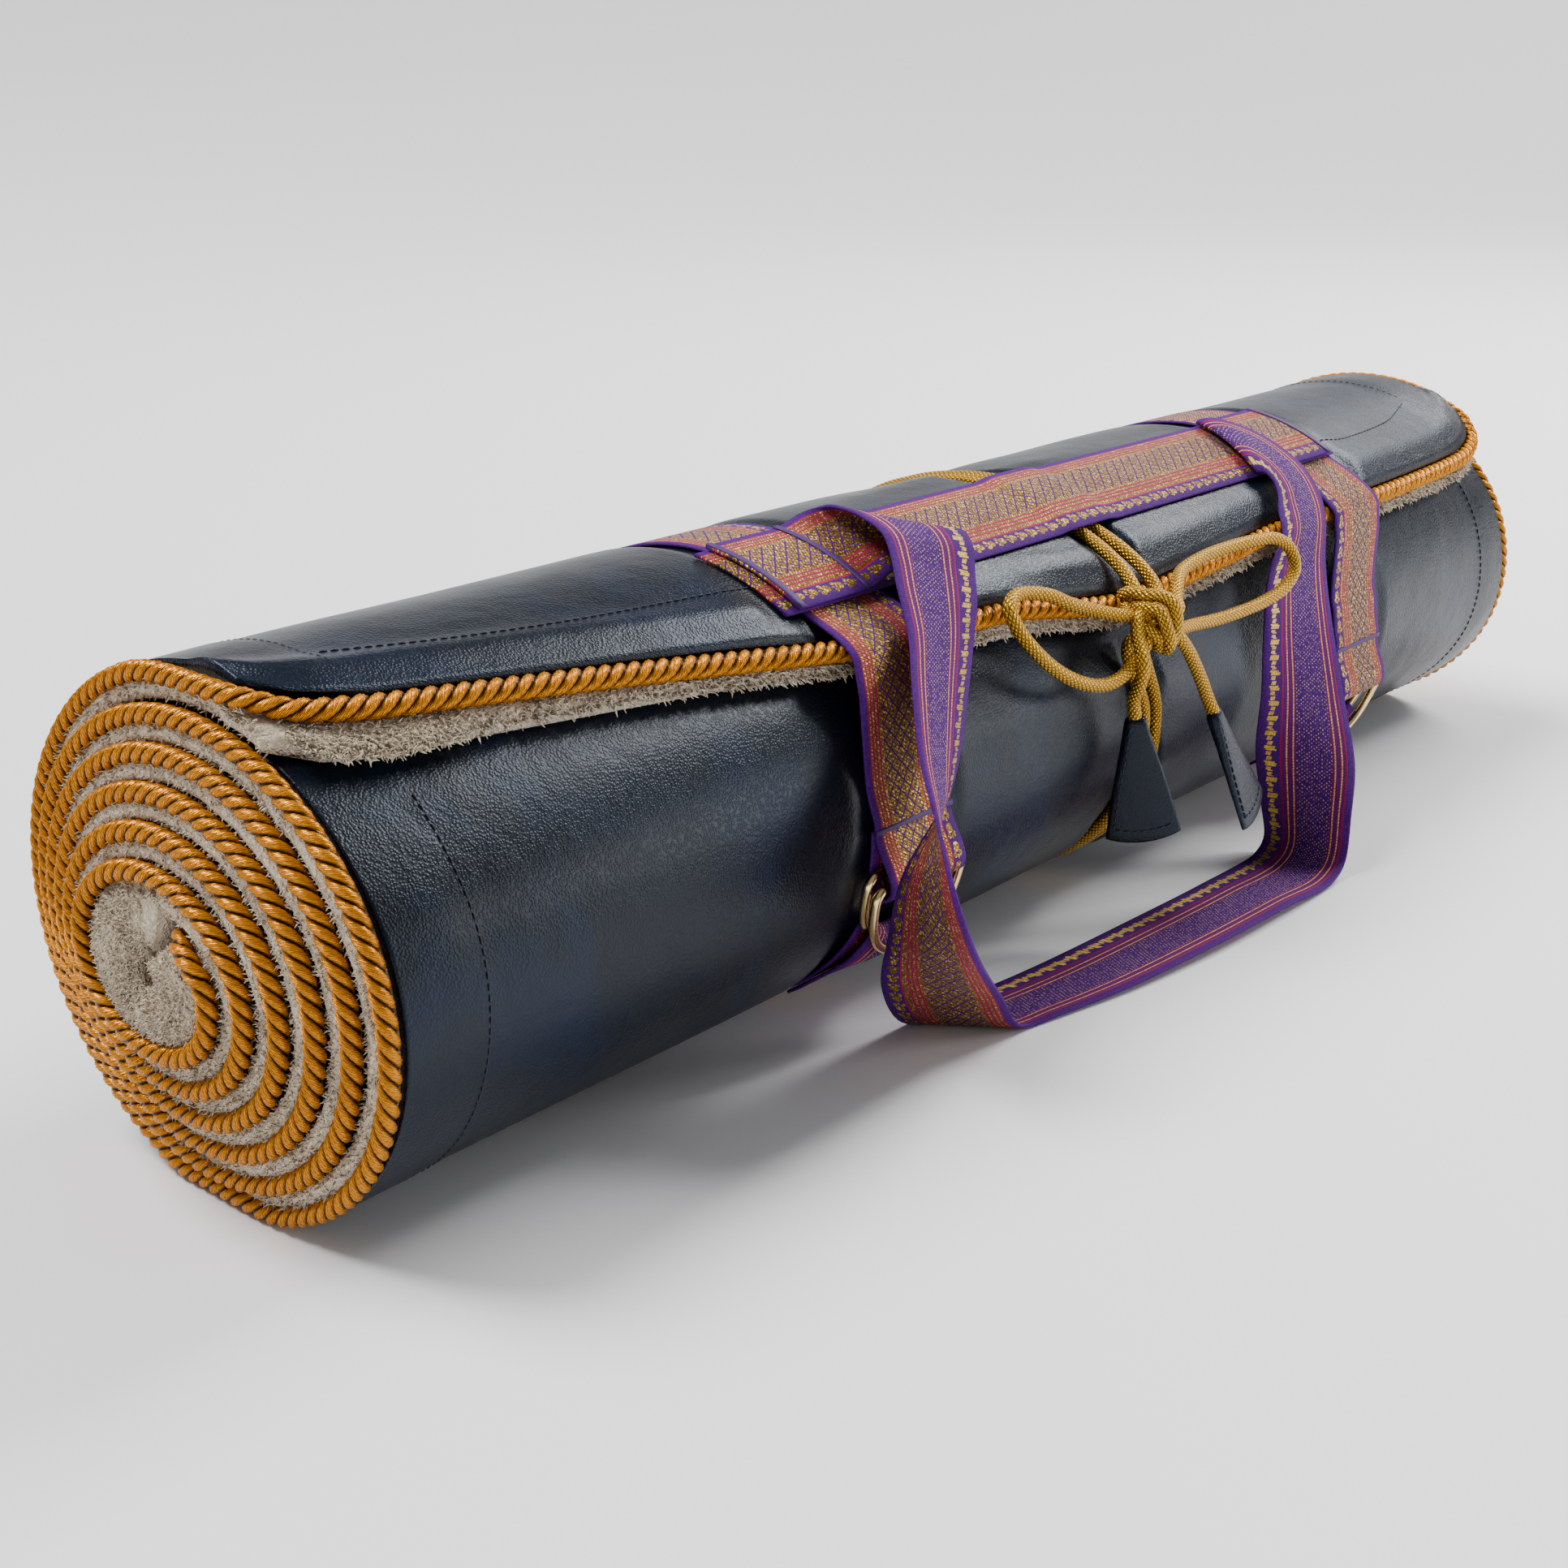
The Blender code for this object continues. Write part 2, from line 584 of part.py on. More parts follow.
def ribbon(name: str, rows: list[list[Vector]], look: tuple = BROCADE_LOOK):
    """A woven strap of even thickness through rows of points across it."""
    bm = bmesh.new()
    top, bottom = [], []
    for i, row in enumerate(rows):
        ahead, behind = rows[min(i + 1, len(rows) - 1)], rows[max(i - 1, 0)]
        upper, lower = [], []
        for j, point in enumerate(row):
            along = ahead[j] - behind[j]
            across = row[min(j + 1, len(row) - 1)] - row[max(j - 1, 0)]
            normal = along.cross(across).normalized() * (STRAP_THICK / 2)
            upper.append(bm.verts.new(point + normal))
            lower.append(bm.verts.new(point - normal))
        top.append(upper)
        bottom.append(lower)
    last_row, last = len(rows) - 1, len(rows[0]) - 1
    for i in range(last_row):
        for j in range(last):
            bm.faces.new((top[i][j], top[i + 1][j], top[i + 1][j + 1], top[i][j + 1]))
            bm.faces.new((bottom[i][j], bottom[i][j + 1], bottom[i + 1][j + 1], bottom[i + 1][j]))
        for j in (0, last):
            bm.faces.new((top[i][j], top[i + 1][j], bottom[i + 1][j], bottom[i][j]))
    for i in (0, last_row):
        for j in range(last):
            bm.faces.new((top[i][j], top[i][j + 1], bottom[i][j + 1], bottom[i][j]))
    return add_object(name, bm, look, 60.0)


def through(knots: list[Vector], steps: int) -> list[Vector]:
    """A round curve through the knots, with the same number of steps between each two."""
    result = []
    padded = [2 * knots[0] - knots[1]] + knots + [2 * knots[-1] - knots[-2]]
    for a, b, c, d in zip(padded, padded[1:], padded[2:], padded[3:]):
        ab, bc, cd = (max((q - p).length, 1e-5) ** 0.5 for p, q in ((a, b), (b, c), (c, d)))
        start = ((b - a) / ab - (c - a) / (ab + bc) + (c - b) / bc) * bc
        end = ((c - b) / bc - (d - b) / (bc + cd) + (d - c) / cd) * bc
        for step in range(steps):
            u = step / steps
            result.append(
                b * (2 * u**3 - 3 * u**2 + 1) + start * (u**3 - 2 * u**2 + u)
                + c * (3 * u**2 - 2 * u**3) + end * (u**3 - u**2)
            )
    result.append(knots[-1])
    return result


def smooth_through(knots: list[Vector], spacing: float) -> list[Vector]:
    """Evenly spaced points of a round curve through the knots."""
    return evenly(through(knots, 12), spacing)


def evenly(points: list[Vector], spacing: float) -> list[Vector]:
    """Resamples a chain of points at nearly the given spacing."""
    lengths = [0.0]
    for a, b in zip(points, points[1:]):
        lengths.append(lengths[-1] + (b - a).length)
    count = max(2, round(lengths[-1] / spacing))
    result, index = [], 0
    for step in range(count + 1):
        target = lengths[-1] * step / count
        while index < len(points) - 2 and lengths[index + 1] < target:
            index += 1
        part = (target - lengths[index]) / max(lengths[index + 1] - lengths[index], 1e-9)
        result.append(points[index].lerp(points[index + 1], min(part, 1.0)))
    return result


def ring_bow(half: float) -> float:
    """How far a D-ring's bow lies from its bar, at a distance from its middle."""
    share = min(abs(half) / RING_HALF, 1.0)
    return RING_DEPTH * (1.0 - share**RING_SQUARENESS) ** (1.0 / RING_SQUARENESS)


def with_steps(path: list[tuple]) -> list[tuple]:
    """Adds the winding's own steps to a strap path whose rows start with the turn."""
    full = [path[0]]
    for before, after in zip(path, path[1:]):
        low, high = sorted((before[0], after[0]))
        steps = [
            (index + 0.5) / STEPS
            for index in range(int(low * STEPS), int(high * STEPS) + 1)
            if low + 0.002 < (index + 0.5) / STEPS < high - 0.002
        ]
        for turn in sorted(steps, reverse=after[0] < before[0]):
            part = (turn - before[0]) / (after[0] - before[0])
            full.append(tuple(a + (b - a) * part for a, b in zip(before, after)))
        full.append(after)
    return full


def belt_path(bar: float, crest: float) -> list[tuple]:
    """A belt's route from its sewn end: turn, height, bow share, place from the wire."""
    sewn = [(5.0 + (bar + a) / 360.0, out * MM, 0.0, 0.0, 0.0) for a, out in SEWN_LOOP]
    over = [
        (6.0 + (crest + CREST_HALF) / 360.0, CREST_OUT), (6.0 + (crest - 2.0) / 360.0, CREST_OUT),
        (6.1, SNUG_OUT), (5.45, SNUG_OUT),
    ]
    around = [(turn, out, 0.0, 0.0, 0.0) for turn, out in over]
    bow = bar + BACK_BOW_ANGLE
    threaded = [
        (5.0 + (bow + angle) / 360.0, out * MM, share, u * MM, v * MM)
        for angle, out, share, u, v in THREADED_END
    ]
    lower = with_steps(sewn + [(5.0 + TURNED_UP / 360.0, SNUG_OUT, 0.0, 0.0, 0.0)])
    return lower + with_steps(around + threaded)


def ring_plane(bar: tuple, bow: tuple) -> tuple[Vector, Vector, Vector]:
    """Middle of a D-ring's bar, its way down to the bow and its outward normal."""
    top = on_roll(0.0, 5.0 + bar[0] / 360.0, bar[1])
    low = on_roll(0.0, 5.0 + bow[0] / 360.0, bow[1])
    down = (low - top).normalized()
    return top, down, down.cross(Vector((1, 0, 0)))


def from_bow(half: float, away: float, down: Vector) -> Vector:
    """A place across and down a D-ring, square to its bow for the wire's own size."""
    step = 0.2 * MM
    slope = (ring_bow(half + step) - ring_bow(half - step)) / (2 * step)
    square = Vector((-slope, 1.0)).normalized()
    near = max(-NEAR_WIRE, min(away, NEAR_WIRE))
    across = half + square.x * near
    return Vector((across, 0, 0)) + down * (ring_bow(half) + square.y * near + away - near)


def build_belt(name: str, centre: float, bar: float, crest: float) -> None:
    """One belt round the roll, held by its pair of D-rings at the front."""
    top, down, normal = ring_plane((bar, BACK_BAR_OUT), (bar + BACK_BOW_ANGLE, BACK_BOW_OUT))
    rows = []
    for turn, out, share, u, v in belt_path(bar, crest):
        row = []
        for part in (-1.0, -0.55, 0.0, 0.55, 1.0):
            half = part * STRAP_WIDTH / 2 * (1.0 - DRAWN_IN * share)
            on_ring = top + from_bow(half, u, down) + normal * v
            row.append(on_roll(half, turn, out).lerp(on_ring, share) + Vector((centre, 0, 0)))
        rows.append(row)
    ribbon(name, rows)


def build_ring(name: str, centre: float, bar: tuple, bow: tuple) -> None:
    """A D-ring in the plane through its bar and its bow, each (angle, out)."""
    top, down, _ = ring_plane(bar, bow)
    points = []
    for step in range(5):
        angle = math.pi / 2 * step / 4
        out, down_by = math.sin(angle) - 1.0, 1.0 - math.cos(angle)
        points.append((RING_HALF + RING_CORNER * out, RING_CORNER * down_by))
    for step in range(1, 14):
        angle = math.pi * step / 14
        across = RING_HALF * math.copysign(
            abs(math.cos(angle)) ** (2.0 / RING_SQUARENESS), math.cos(angle)
        )
        if ring_bow(across) > 4.0 * MM:
            points.append((across, ring_bow(across)))
    points += [(-across, depth) for across, depth in reversed(points[:5])]
    loop = [top + down * depth + Vector((centre + across, 0, 0)) for across, depth in points]
    tube(name, loop, WIRE_RADIUS, RING_SIDES, BRASS_LOOK)


def build_harness_side(side: str, centre: float, bar: float, crest: float) -> None:
    """A belt and its two rings."""
    build_belt(f"belt_{side}", centre, bar, crest)
    build_ring(f"d_ring_back_{side}", centre, (bar, BACK_BAR_OUT),
               (bar + BACK_BOW_ANGLE, BACK_BOW_OUT))
    build_ring(f"d_ring_front_{side}", centre, (bar + FRONT_BAR_STEP, FRONT_BAR_OUT),
               (bar + FRONT_BOW_ANGLE, FRONT_BOW_OUT))


def top_strap_angles() -> list[float]:
    """Angles of the points across the strap that joins the belts on top."""
    half = math.degrees(STRAP_WIDTH / 2 / TOP_STRAP_BEND)
    return [TOP_STRAP_ANGLE - half, 9.0, 18.0, 27.0, TOP_STRAP_ANGLE + half]


def build_top_strap() -> None:
    """The strap along the top between the two belts."""
    rows = []
    for x, out in TOP_STRAP:
        rows.append([on_roll(x * MM, 6.0 + a / 360.0, out * MM) for a in top_strap_angles()])
    ribbon("top_strap", rows)


def free_row(plain: tuple, flower: tuple) -> list[Vector]:
    """Five points across the handle, at its own width, from edge to edge."""
    left, right = Vector(plain) * MM, Vector(flower) * MM
    middle = (left + right) / 2
    half = (right - left).normalized() * STRAP_WIDTH / 2
    return [middle + half * (2 * part - 1) for part in ACROSS]


def laid_row(plain: tuple, flower: tuple) -> list[Vector]:
    """Five points across the handle where it lies on the roll, bent as the roll is."""
    row = []
    for part in ACROSS:
        x, angle, out = (a + (b - a) * part for a, b in zip(plain, flower))
        row.append(on_roll(x * MM, 6.0 + angle / 360.0, out * MM))
    return row


def sewn_rows(places: tuple) -> list[list[Vector]]:
    """Rows of the handle's ends on the top strap, at each (x, height) in mm."""
    angles = top_strap_angles()
    return [laid_row((x, angles[0], out), (x, angles[-1], out)) for x, out in places]


def build_handle() -> None:
    """The loose carry strap, sewn over both ends of the top strap."""
    rows = sewn_rows(((-148.0, 2.6), (-128.0, 2.6), (-118.0, 2.65), (NEAR_STITCH_X, 3.0)))
    rows += [free_row(*edges) for edges in NEAR_ARCH + NEAR_LEG + FLOOR_RUN + FAR_LEG]
    rows += [laid_row(*edges) for edges in FAR_FOLD]
    rows += sewn_rows(((FAR_STITCH_X, 2.65), (157.0, 2.6), (191.0, 2.6)))
    columns = [through(list(column), HANDLE_STEPS) for column in zip(*rows)]
    for point in (point for column in columns for point in column):
        point.z = max(point.z, STRAP_THICK / 2 + HANDLE_OFF_FLOOR)
    ribbon("handle_strap", [list(row) for row in zip(*columns)])


def port(name: str) -> tuple[Vector, Vector]:
    """Where a cord meets the knot, and a point that leads it straight out."""
    way = Vector(PORTS[name]).normalized()
    reach = 1.0 / math.sqrt(sum((way[i] / KNOT_HALVES[i]) ** 2 for i in range(3)))
    normal = Vector([way[i] / KNOT_HALVES[i] ** 2 for i in range(3)]).normalized()
    start = KNOT_CENTRE + way * reach + normal * PORT_GAP
    return start, start + normal * 3.0 * MM


def cord(name: str, points: list[Vector]) -> None:
    """A round cord as a curve with closed ends."""
    curve = bpy.data.curves.new(name, "CURVE")
    curve.dimensions = "3D"
    curve.bevel_depth = TIE_RADIUS
    curve.bevel_resolution = 2
    curve.use_fill_caps = True
    spline = curve.splines.new("POLY")
    spline.points.add(len(points) - 1)
    for place, point in zip(spline.points, points):
        place.co = (*point, 1.0)
    curve.materials.append(material(CORD_LOOK))
    bpy.context.scene.collection.objects.link(bpy.data.objects.new(name, curve))


def in_mm(points: tuple) -> list[Vector]:
    """Route points in mm as vectors in metres."""
    return [Vector(point) * MM for point in points]


def strand_points(x: float, side: str) -> list[Vector]:
    """A strand of the tie round the roll, from the knot over the top and back to it."""
    start, _ = port(f"strand_{side}_top")
    end, lead_end = port(f"strand_{side}_low")
    points = [start]
    for place, turn, out in STRAND_CREST[side]:
        points.append(Vector((place * MM, *surface(turn, out * MM))))
    turns = [6.075 - index / STEPS for index in range(15)] + [5.325, 5.275, 5.225]
    for turn in turns:
        depth = lookup(TIE_GROOVE, (turn % 1.0) * 360.0) * MM
        points.append(Vector((x, *surface(turn, 2.75 * MM - depth))))
    return points + [lead_end, end]


def build_tie() -> None:
    """The tie cord round the roll with its knot, bow and two tails."""
    for side, x in (("left", TIE_X - STRAND_SPREAD), ("right", TIE_X + STRAND_SPREAD)):
        cord(f"tie_strand_{side}", strand_points(x, side))
    for side, route in (("left", LEFT_LOOP), ("right", RIGHT_LOOP)):
        start, lead = port(f"loop_{side}_top")
        end, lead_end = port(f"loop_{side}_low")
        knots = [lead] + in_mm(route) + [lead_end]
        cord(f"bow_loop_{side}", [start] + smooth_through(knots, 8 * MM) + [end])
    for side, route in (("left", LEFT_TAIL), ("right", RIGHT_TAIL)):
        start, lead = port(f"tail_{side}")
        apex, foot = in_mm(TIPS[side][:2])
        along = (foot - apex).normalized()
        ends = [apex - along * TAIL_STRAIGHT, apex - along * TAIL_GAP]
        cord(f"tie_tail_{side}", [start] + smooth_through([lead] + in_mm(route) + ends, 5 * MM))
    bm = bmesh.new()
    bmesh.ops.create_uvsphere(bm, u_segments=12, v_segments=8, radius=1.0)
    bmesh.ops.scale(bm, vec=KNOT_HALVES, verts=bm.verts)
    bmesh.ops.translate(bm, vec=KNOT_CENTRE, verts=bm.verts)
    add_object("tie_knot", bm, CORD_LOOK, 80.0)


def build_tip(name: str, apex: tuple, foot: tuple, across: tuple) -> None:
    """A flat leather tip that widens from its cord to its foot."""
    start, end = Vector(apex) * MM, Vector(foot) * MM
    along = (end - start).normalized()
    side = Vector(across)
    side = (side - along * side.dot(along)).normalized()
    face = along.cross(side)
    bm = bmesh.new()
    rings = []
    for part, width, thick in TIP_RINGS:
        middle = start + along * TIP_LENGTH * part
        ring = []
        for u, v in ((-1, 0), (-0.6, 1), (0.6, 1), (1, 0), (0.6, -1), (-0.6, -1)):
            bow = TIP_FOOT_BOW * (1 - u * u) if part == 1.0 else 0.0
            place = middle + (side * u * width + face * v * thick) * MM / 2 + along * bow
            ring.append(bm.verts.new(place))
        rings.append(ring)
    for ring, after in zip(rings, rings[1:]):
        for index in range(6):
            other = (index + 1) % 6
            bm.faces.new((ring[index], ring[other], after[other], after[index]))
    bm.faces.new(rings[0])
    bm.faces.new(rings[-1])
    add_object(name, bm, LEATHER_LOOK)


def build_part() -> None:
    """The whole rug, roll first and then its harness."""
    clear_scene()
    build_sheet()
    build_rope()
    build_top_strap()
    for side, place in BELT_SIDES.items():
        build_harness_side(side, *place)
    build_handle()
    build_tie()
    for side, place in TIPS.items():
        build_tip(f"tip_{side}", *place)


build_part()
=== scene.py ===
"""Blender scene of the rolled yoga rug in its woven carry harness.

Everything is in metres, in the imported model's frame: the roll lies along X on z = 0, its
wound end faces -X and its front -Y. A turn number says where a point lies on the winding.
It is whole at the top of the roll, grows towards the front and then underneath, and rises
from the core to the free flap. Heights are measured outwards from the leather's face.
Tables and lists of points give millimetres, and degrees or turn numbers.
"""

import logging
import math
from collections.abc import Callable, Iterable, Sequence
from dataclasses import dataclass
from enum import Enum
from functools import reduce

import bpy
import numpy as np
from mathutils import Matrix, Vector, noise


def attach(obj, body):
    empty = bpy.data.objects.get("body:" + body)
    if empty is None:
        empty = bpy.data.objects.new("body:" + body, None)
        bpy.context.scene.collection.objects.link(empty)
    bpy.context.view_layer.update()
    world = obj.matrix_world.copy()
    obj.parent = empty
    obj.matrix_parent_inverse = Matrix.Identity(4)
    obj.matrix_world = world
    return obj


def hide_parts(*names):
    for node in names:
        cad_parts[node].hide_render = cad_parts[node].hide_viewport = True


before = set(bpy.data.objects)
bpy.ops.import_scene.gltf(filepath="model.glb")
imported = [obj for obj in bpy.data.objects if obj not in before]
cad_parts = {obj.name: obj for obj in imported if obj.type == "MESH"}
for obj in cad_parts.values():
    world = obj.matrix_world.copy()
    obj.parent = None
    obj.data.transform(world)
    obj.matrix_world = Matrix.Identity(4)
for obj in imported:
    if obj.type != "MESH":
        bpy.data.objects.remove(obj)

LOG = logging.getLogger("scene")
MM = 0.001
BODY = "root"
Array = np.ndarray
Colour = tuple[float, float, float]
Material = bpy.types.Material
Object = bpy.types.Object
FULL_TURN = 2 * math.pi
LAST_TURN = 6.0
OUTER_TURN = 5.0
STRAP_WIDTH = 38.0


class Slot(Enum):
    """Material slots of the record."""

    LEATHER = "navy_leather"
    FLEECE = "grey_fleece"
    ROPE = "gold_rope"
    BROCADE = "brocade"
    CORD = "metallic_cord"
    BRASS = "brass"


# Curves and sweeps


def ease(start: float, end: float, value: Array) -> Array:
    """A smooth step from 0, where it leaves start, to 1, where it reaches end."""
    part = np.clip((np.asarray(value, float) - start) / (end - start), 0.0, 1.0)
    return part * part * (3.0 - 2.0 * part)


def hermite(u: Array) -> tuple[Array, Array, Array, Array]:
    """Weights of a stretch's first value and slope, and of its last value and slope."""
    return 2 * u**3 - 3 * u**2 + 1, u**3 - 2 * u**2 + u, 3 * u**2 - 2 * u**3, u**3 - u**2


def smooth_table(table: Sequence[tuple[float, float]], value: Array) -> Array:
    """Reads rows of place and value along a smooth curve, held level past both ends."""
    xs, ys = np.array(table, float).T
    climbs = np.diff(ys) / np.diff(xs)
    before, after = climbs[:-1], climbs[1:]
    total = np.where(before * after > 0, before + after, 1.0)
    inner = np.where(before * after > 0, 2 * before * after / total, 0.0)
    slopes = np.concatenate([climbs[:1], inner, climbs[-1:]])
    value = np.clip(np.asarray(value, float), xs[0], xs[-1])
    index = np.clip(np.searchsorted(xs, value) - 1, 0, len(xs) - 2)
    width = xs[index + 1] - xs[index]
    first, leaving, last, arriving = hermite((value - xs[index]) / width)
    lean = leaving * slopes[index] + arriving * slopes[index + 1]
    return first * ys[index] + last * ys[index + 1] + lean * width


def through(knots: Array, steps: int, closed: bool = False) -> Array:
    """A round curve through knots.

    Args:
        knots: Points, or rows of points that each get a curve of their own.
        steps: Points for each stretch between two knots.
        closed: Whether the curve returns to its first knot.

    Returns:
        The curve's points, in the same layout as the knots.
    """
    if closed:
        padded = np.concatenate([knots[-1:], knots, knots[:2]])
    else:
        ends = 2 * knots[:1] - knots[1:2], 2 * knots[-1:] - knots[-2:-1]
        padded = np.concatenate([ends[0], knots, ends[1]])
    a, b, c, d = padded[:-3], padded[1:-2], padded[2:-1], padded[3:]
    ab, bc, cd = (
        np.sqrt(np.maximum(np.linalg.norm(q - p, axis=-1, keepdims=True), 1e-5))
        for p, q in ((a, b), (b, c), (c, d))
    )
    start = ((b - a) / ab - (c - a) / (ab + bc) + (c - b) / bc) * bc
    end = ((c - b) / bc - (d - b) / (bc + cd) + (d - c) / cd) * bc
    pieces = []
    for step in range(steps):
        first, leaving, last, arriving = hermite(step / steps)
        pieces.append(b * first + start * leaving + c * last + end * arriving)
    line = np.stack(pieces, axis=1).reshape(-1, *knots.shape[1:])
    return line if closed else np.concatenate([line, knots[-1:]])


def measure(points: Array, closed: bool = False) -> Array:
    """Distance along a line of points, with the way back to the first if it is closed."""
    ahead = np.roll(points, -1, axis=0) if closed else points[1:]
    steps = np.linalg.norm(ahead - points[: len(ahead)], axis=-1)
    return np.concatenate([[0.0], np.cumsum(steps)])


def at_marks(values: Array, places: Array, marks: Array) -> Array:
    """Points or directions at marks along a line, read between those at its places."""
    return np.stack([np.interp(marks, places, values[:, axis]) for axis in range(3)], axis=1)


def evenly(points: Array, spacing: float, closed: bool = False) -> Array:
    """A line at nearly even spacing. The first point of a closed one isn't repeated."""
    places = measure(points, closed)
    full = np.concatenate([points, points[:1]]) if closed else points
    count = max(3, round(places[-1] / spacing))
    line = at_marks(full, places, np.linspace(0.0, places[-1], count + 1))
    return line[:-1] if closed else line


def unit(vectors: Array) -> Array:
    """Vectors scaled to length 1."""
    return vectors / np.maximum(np.linalg.norm(vectors, axis=-1, keepdims=True), 1e-12)


def tangents_of(points: Array, closed: bool = False) -> Array:
    """Directions of a line at its points."""
    if closed:
        return unit(np.roll(points, -1, axis=0) - np.roll(points, 1, axis=0))
    return unit(np.gradient(points, axis=0))


def frames_of(points: Array, closed: bool = False) -> tuple[Array, Array]:
    """Two directions square to a line that turn with it as little as they can."""
    along = tangents_of(points, closed)
    first = np.cross(along[0], (0.0, 0.0, 1.0))
    if np.linalg.norm(first) < 0.1:
        first = np.cross(along[0], (1.0, 0.0, 0.0))
    normals = [first / np.linalg.norm(first)]
    for tangent in along[1:]:
        kept = normals[-1] - tangent * (normals[-1] @ tangent)
        normals.append(kept / np.linalg.norm(kept))
    normals = np.array(normals)
    if closed:
        last = normals[-1] - along[0] * (normals[-1] @ along[0])
        last /= np.linalg.norm(last)
        spin = math.atan2(np.cross(last, normals[0]) @ along[0], last @ normals[0])
        turns = (spin * np.arange(len(points)) / len(points))[:, None]
        across = np.cross(along, normals)
        normals = normals * np.cos(turns) + across * np.sin(turns)
    return normals, np.cross(along, normals)


def circle(sides: int) -> Array:
    """Angles of even points round a circle."""
    return FULL_TURN * np.arange(sides) / sides


def spokes(line: Array, angles: Array, closed: bool = False) -> Array:
    """Directions square to a line, at angles round it: points by angles by 3."""
    normals, across = frames_of(line, closed)
    turned = normals[:, None] * np.cos(angles)[..., None]
    return turned + across[:, None] * np.sin(angles)[..., None]


def uv_grid(along: Array, across: Array) -> Array:
    """UV at each corner of a grid."""
    return np.stack(np.meshgrid(along, across, indexing="ij"), axis=2)


# Meshes


def settle(made: Object) -> Object:
    """Smooths a piece and lets it ride on the rug's body."""
    made.data.shade_smooth()
    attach(made, BODY)
    return made


def add_to_scene(name: str, data: bpy.types.ID) -> Object:
    """A new object in the scene."""
    made = bpy.data.objects.new(name, data)
    bpy.context.scene.collection.objects.link(made)
    return made


def quads(rows: int, sides: int) -> list[list[int]]:
    """Faces between rows of closed loops, whose points are numbered row by row."""
    return [[row + k, row + (k + 1) % sides, row + sides + (k + 1) % sides, row + sides + k]
            for row in range(0, (rows - 1) * sides, sides) for k in range(sides)]


def volume_of(points: Array, faces: Array) -> float:
    """Signed volume within faces of four corners."""
    a, b, c, d = (points[faces[:, k]] for k in range(4))
    return float(np.einsum("ij,ij->i", a, np.cross(b, c) + np.cross(c, d)).sum() / 6)


def grid_piece(
    name: str, points: Array, looks: Sequence[Material], uv: Array,
    ring: bool = False, look_of: Callable[[int, int], int] | None = None,
) -> Object:
    """Makes a closed piece from rows of closed loops, with its faces outwards.

    Args:
        name: The piece's name.
        points: Rows by loop points by 3.
        looks: Its materials.
        uv: UV at each corner of the grid, one more each way than the faces.
        ring: Whether the last row joins the first, in place of end caps.
        look_of: The material number of the face at a row and column.
    """
    rows, columns = points.shape[:2]
    bands = rows if ring else rows - 1
    i, j = (a.ravel() for a in np.meshgrid(np.arange(bands), np.arange(columns), indexing="ij"))
    i2, j2 = (i + 1) % rows, (j + 1) % columns
    faces = np.stack([i * columns + j, i2 * columns + j, i2 * columns + j2, i * columns + j2], 1)
    flat = points.reshape(-1, 3)
    corner_uv = np.stack([uv[i, j], uv[i + 1, j], uv[i + 1, j + 1], uv[i, j + 1]], 1)
    flip = volume_of(flat, faces) < 0
    if flip:
        faces, corner_uv = faces[:, ::-1], corner_uv[:, ::-1]
    caps, cap_uv = [], np.zeros((0, 2))
    if not ring:
        first, last = list(range(columns)), list(range((rows - 1) * columns, rows * columns))
        caps = [first[::-1], last] if flip else [first, last[::-1]]
        cap_uv = np.concatenate([uv[0, :-1], uv[-2, :-1]])
    mesh = bpy.data.meshes.new(name)
    mesh.from_pydata(flat.tolist(), [], faces.tolist() + caps)
    for look in looks:
        mesh.materials.append(look)
    layer = mesh.uv_layers.new(name="UVMap")
    everything = np.concatenate([corner_uv.reshape(-1, 2), cap_uv])
    layer.data.foreach_set("uv", everything.astype(np.float32).ravel())
    if look_of is not None:
        numbers = [look_of(row, column) for row, column in zip(i.tolist(), j.tolist())]
        mesh.polygons.foreach_set("material_index", numbers + [0] * len(caps))
    mesh.update()
    return settle(add_to_scene(name, mesh))


def tube_piece(
    name: str, line: Array, radius: float | Array, sides: int, look: Material,
    ring: bool = False,
) -> Object:
    """Makes a round tube along a line, with UV in metres along and 0 to 1 around.

    Args:
        name: The piece's name.
        line: Its centre line.
        radius: Its radius, or one for each point.
        sides: How many sides it has.
        look: Its material.
        ring: Whether the line is closed.
    """
    wide = np.broadcast_to(np.asarray(radius, float), (len(line),))[:, None, None]
    points = line[:, None] + spokes(line, circle(sides), ring) * wide
    along = measure(line, ring)
    along = along if ring else np.append(along, along[-1])
    return grid_piece(name, points, [look], uv_grid(along, np.arange(sides + 1) / sides), ring)


def soft_noise(points: Array, size: float, seed: float) -> Array:
    """Smooth noise from -1 to 1 at points, with lumps of about the given size."""
    return np.array([noise.noise(Vector((p / size + seed).tolist())) for p in points])


# Shaders


def by_node(operation: str) -> Callable[["Value", "Value | float"], "Value"]:
    """A method that takes a number and another one through a Math node."""
    return lambda value, other: value.math(operation, other)


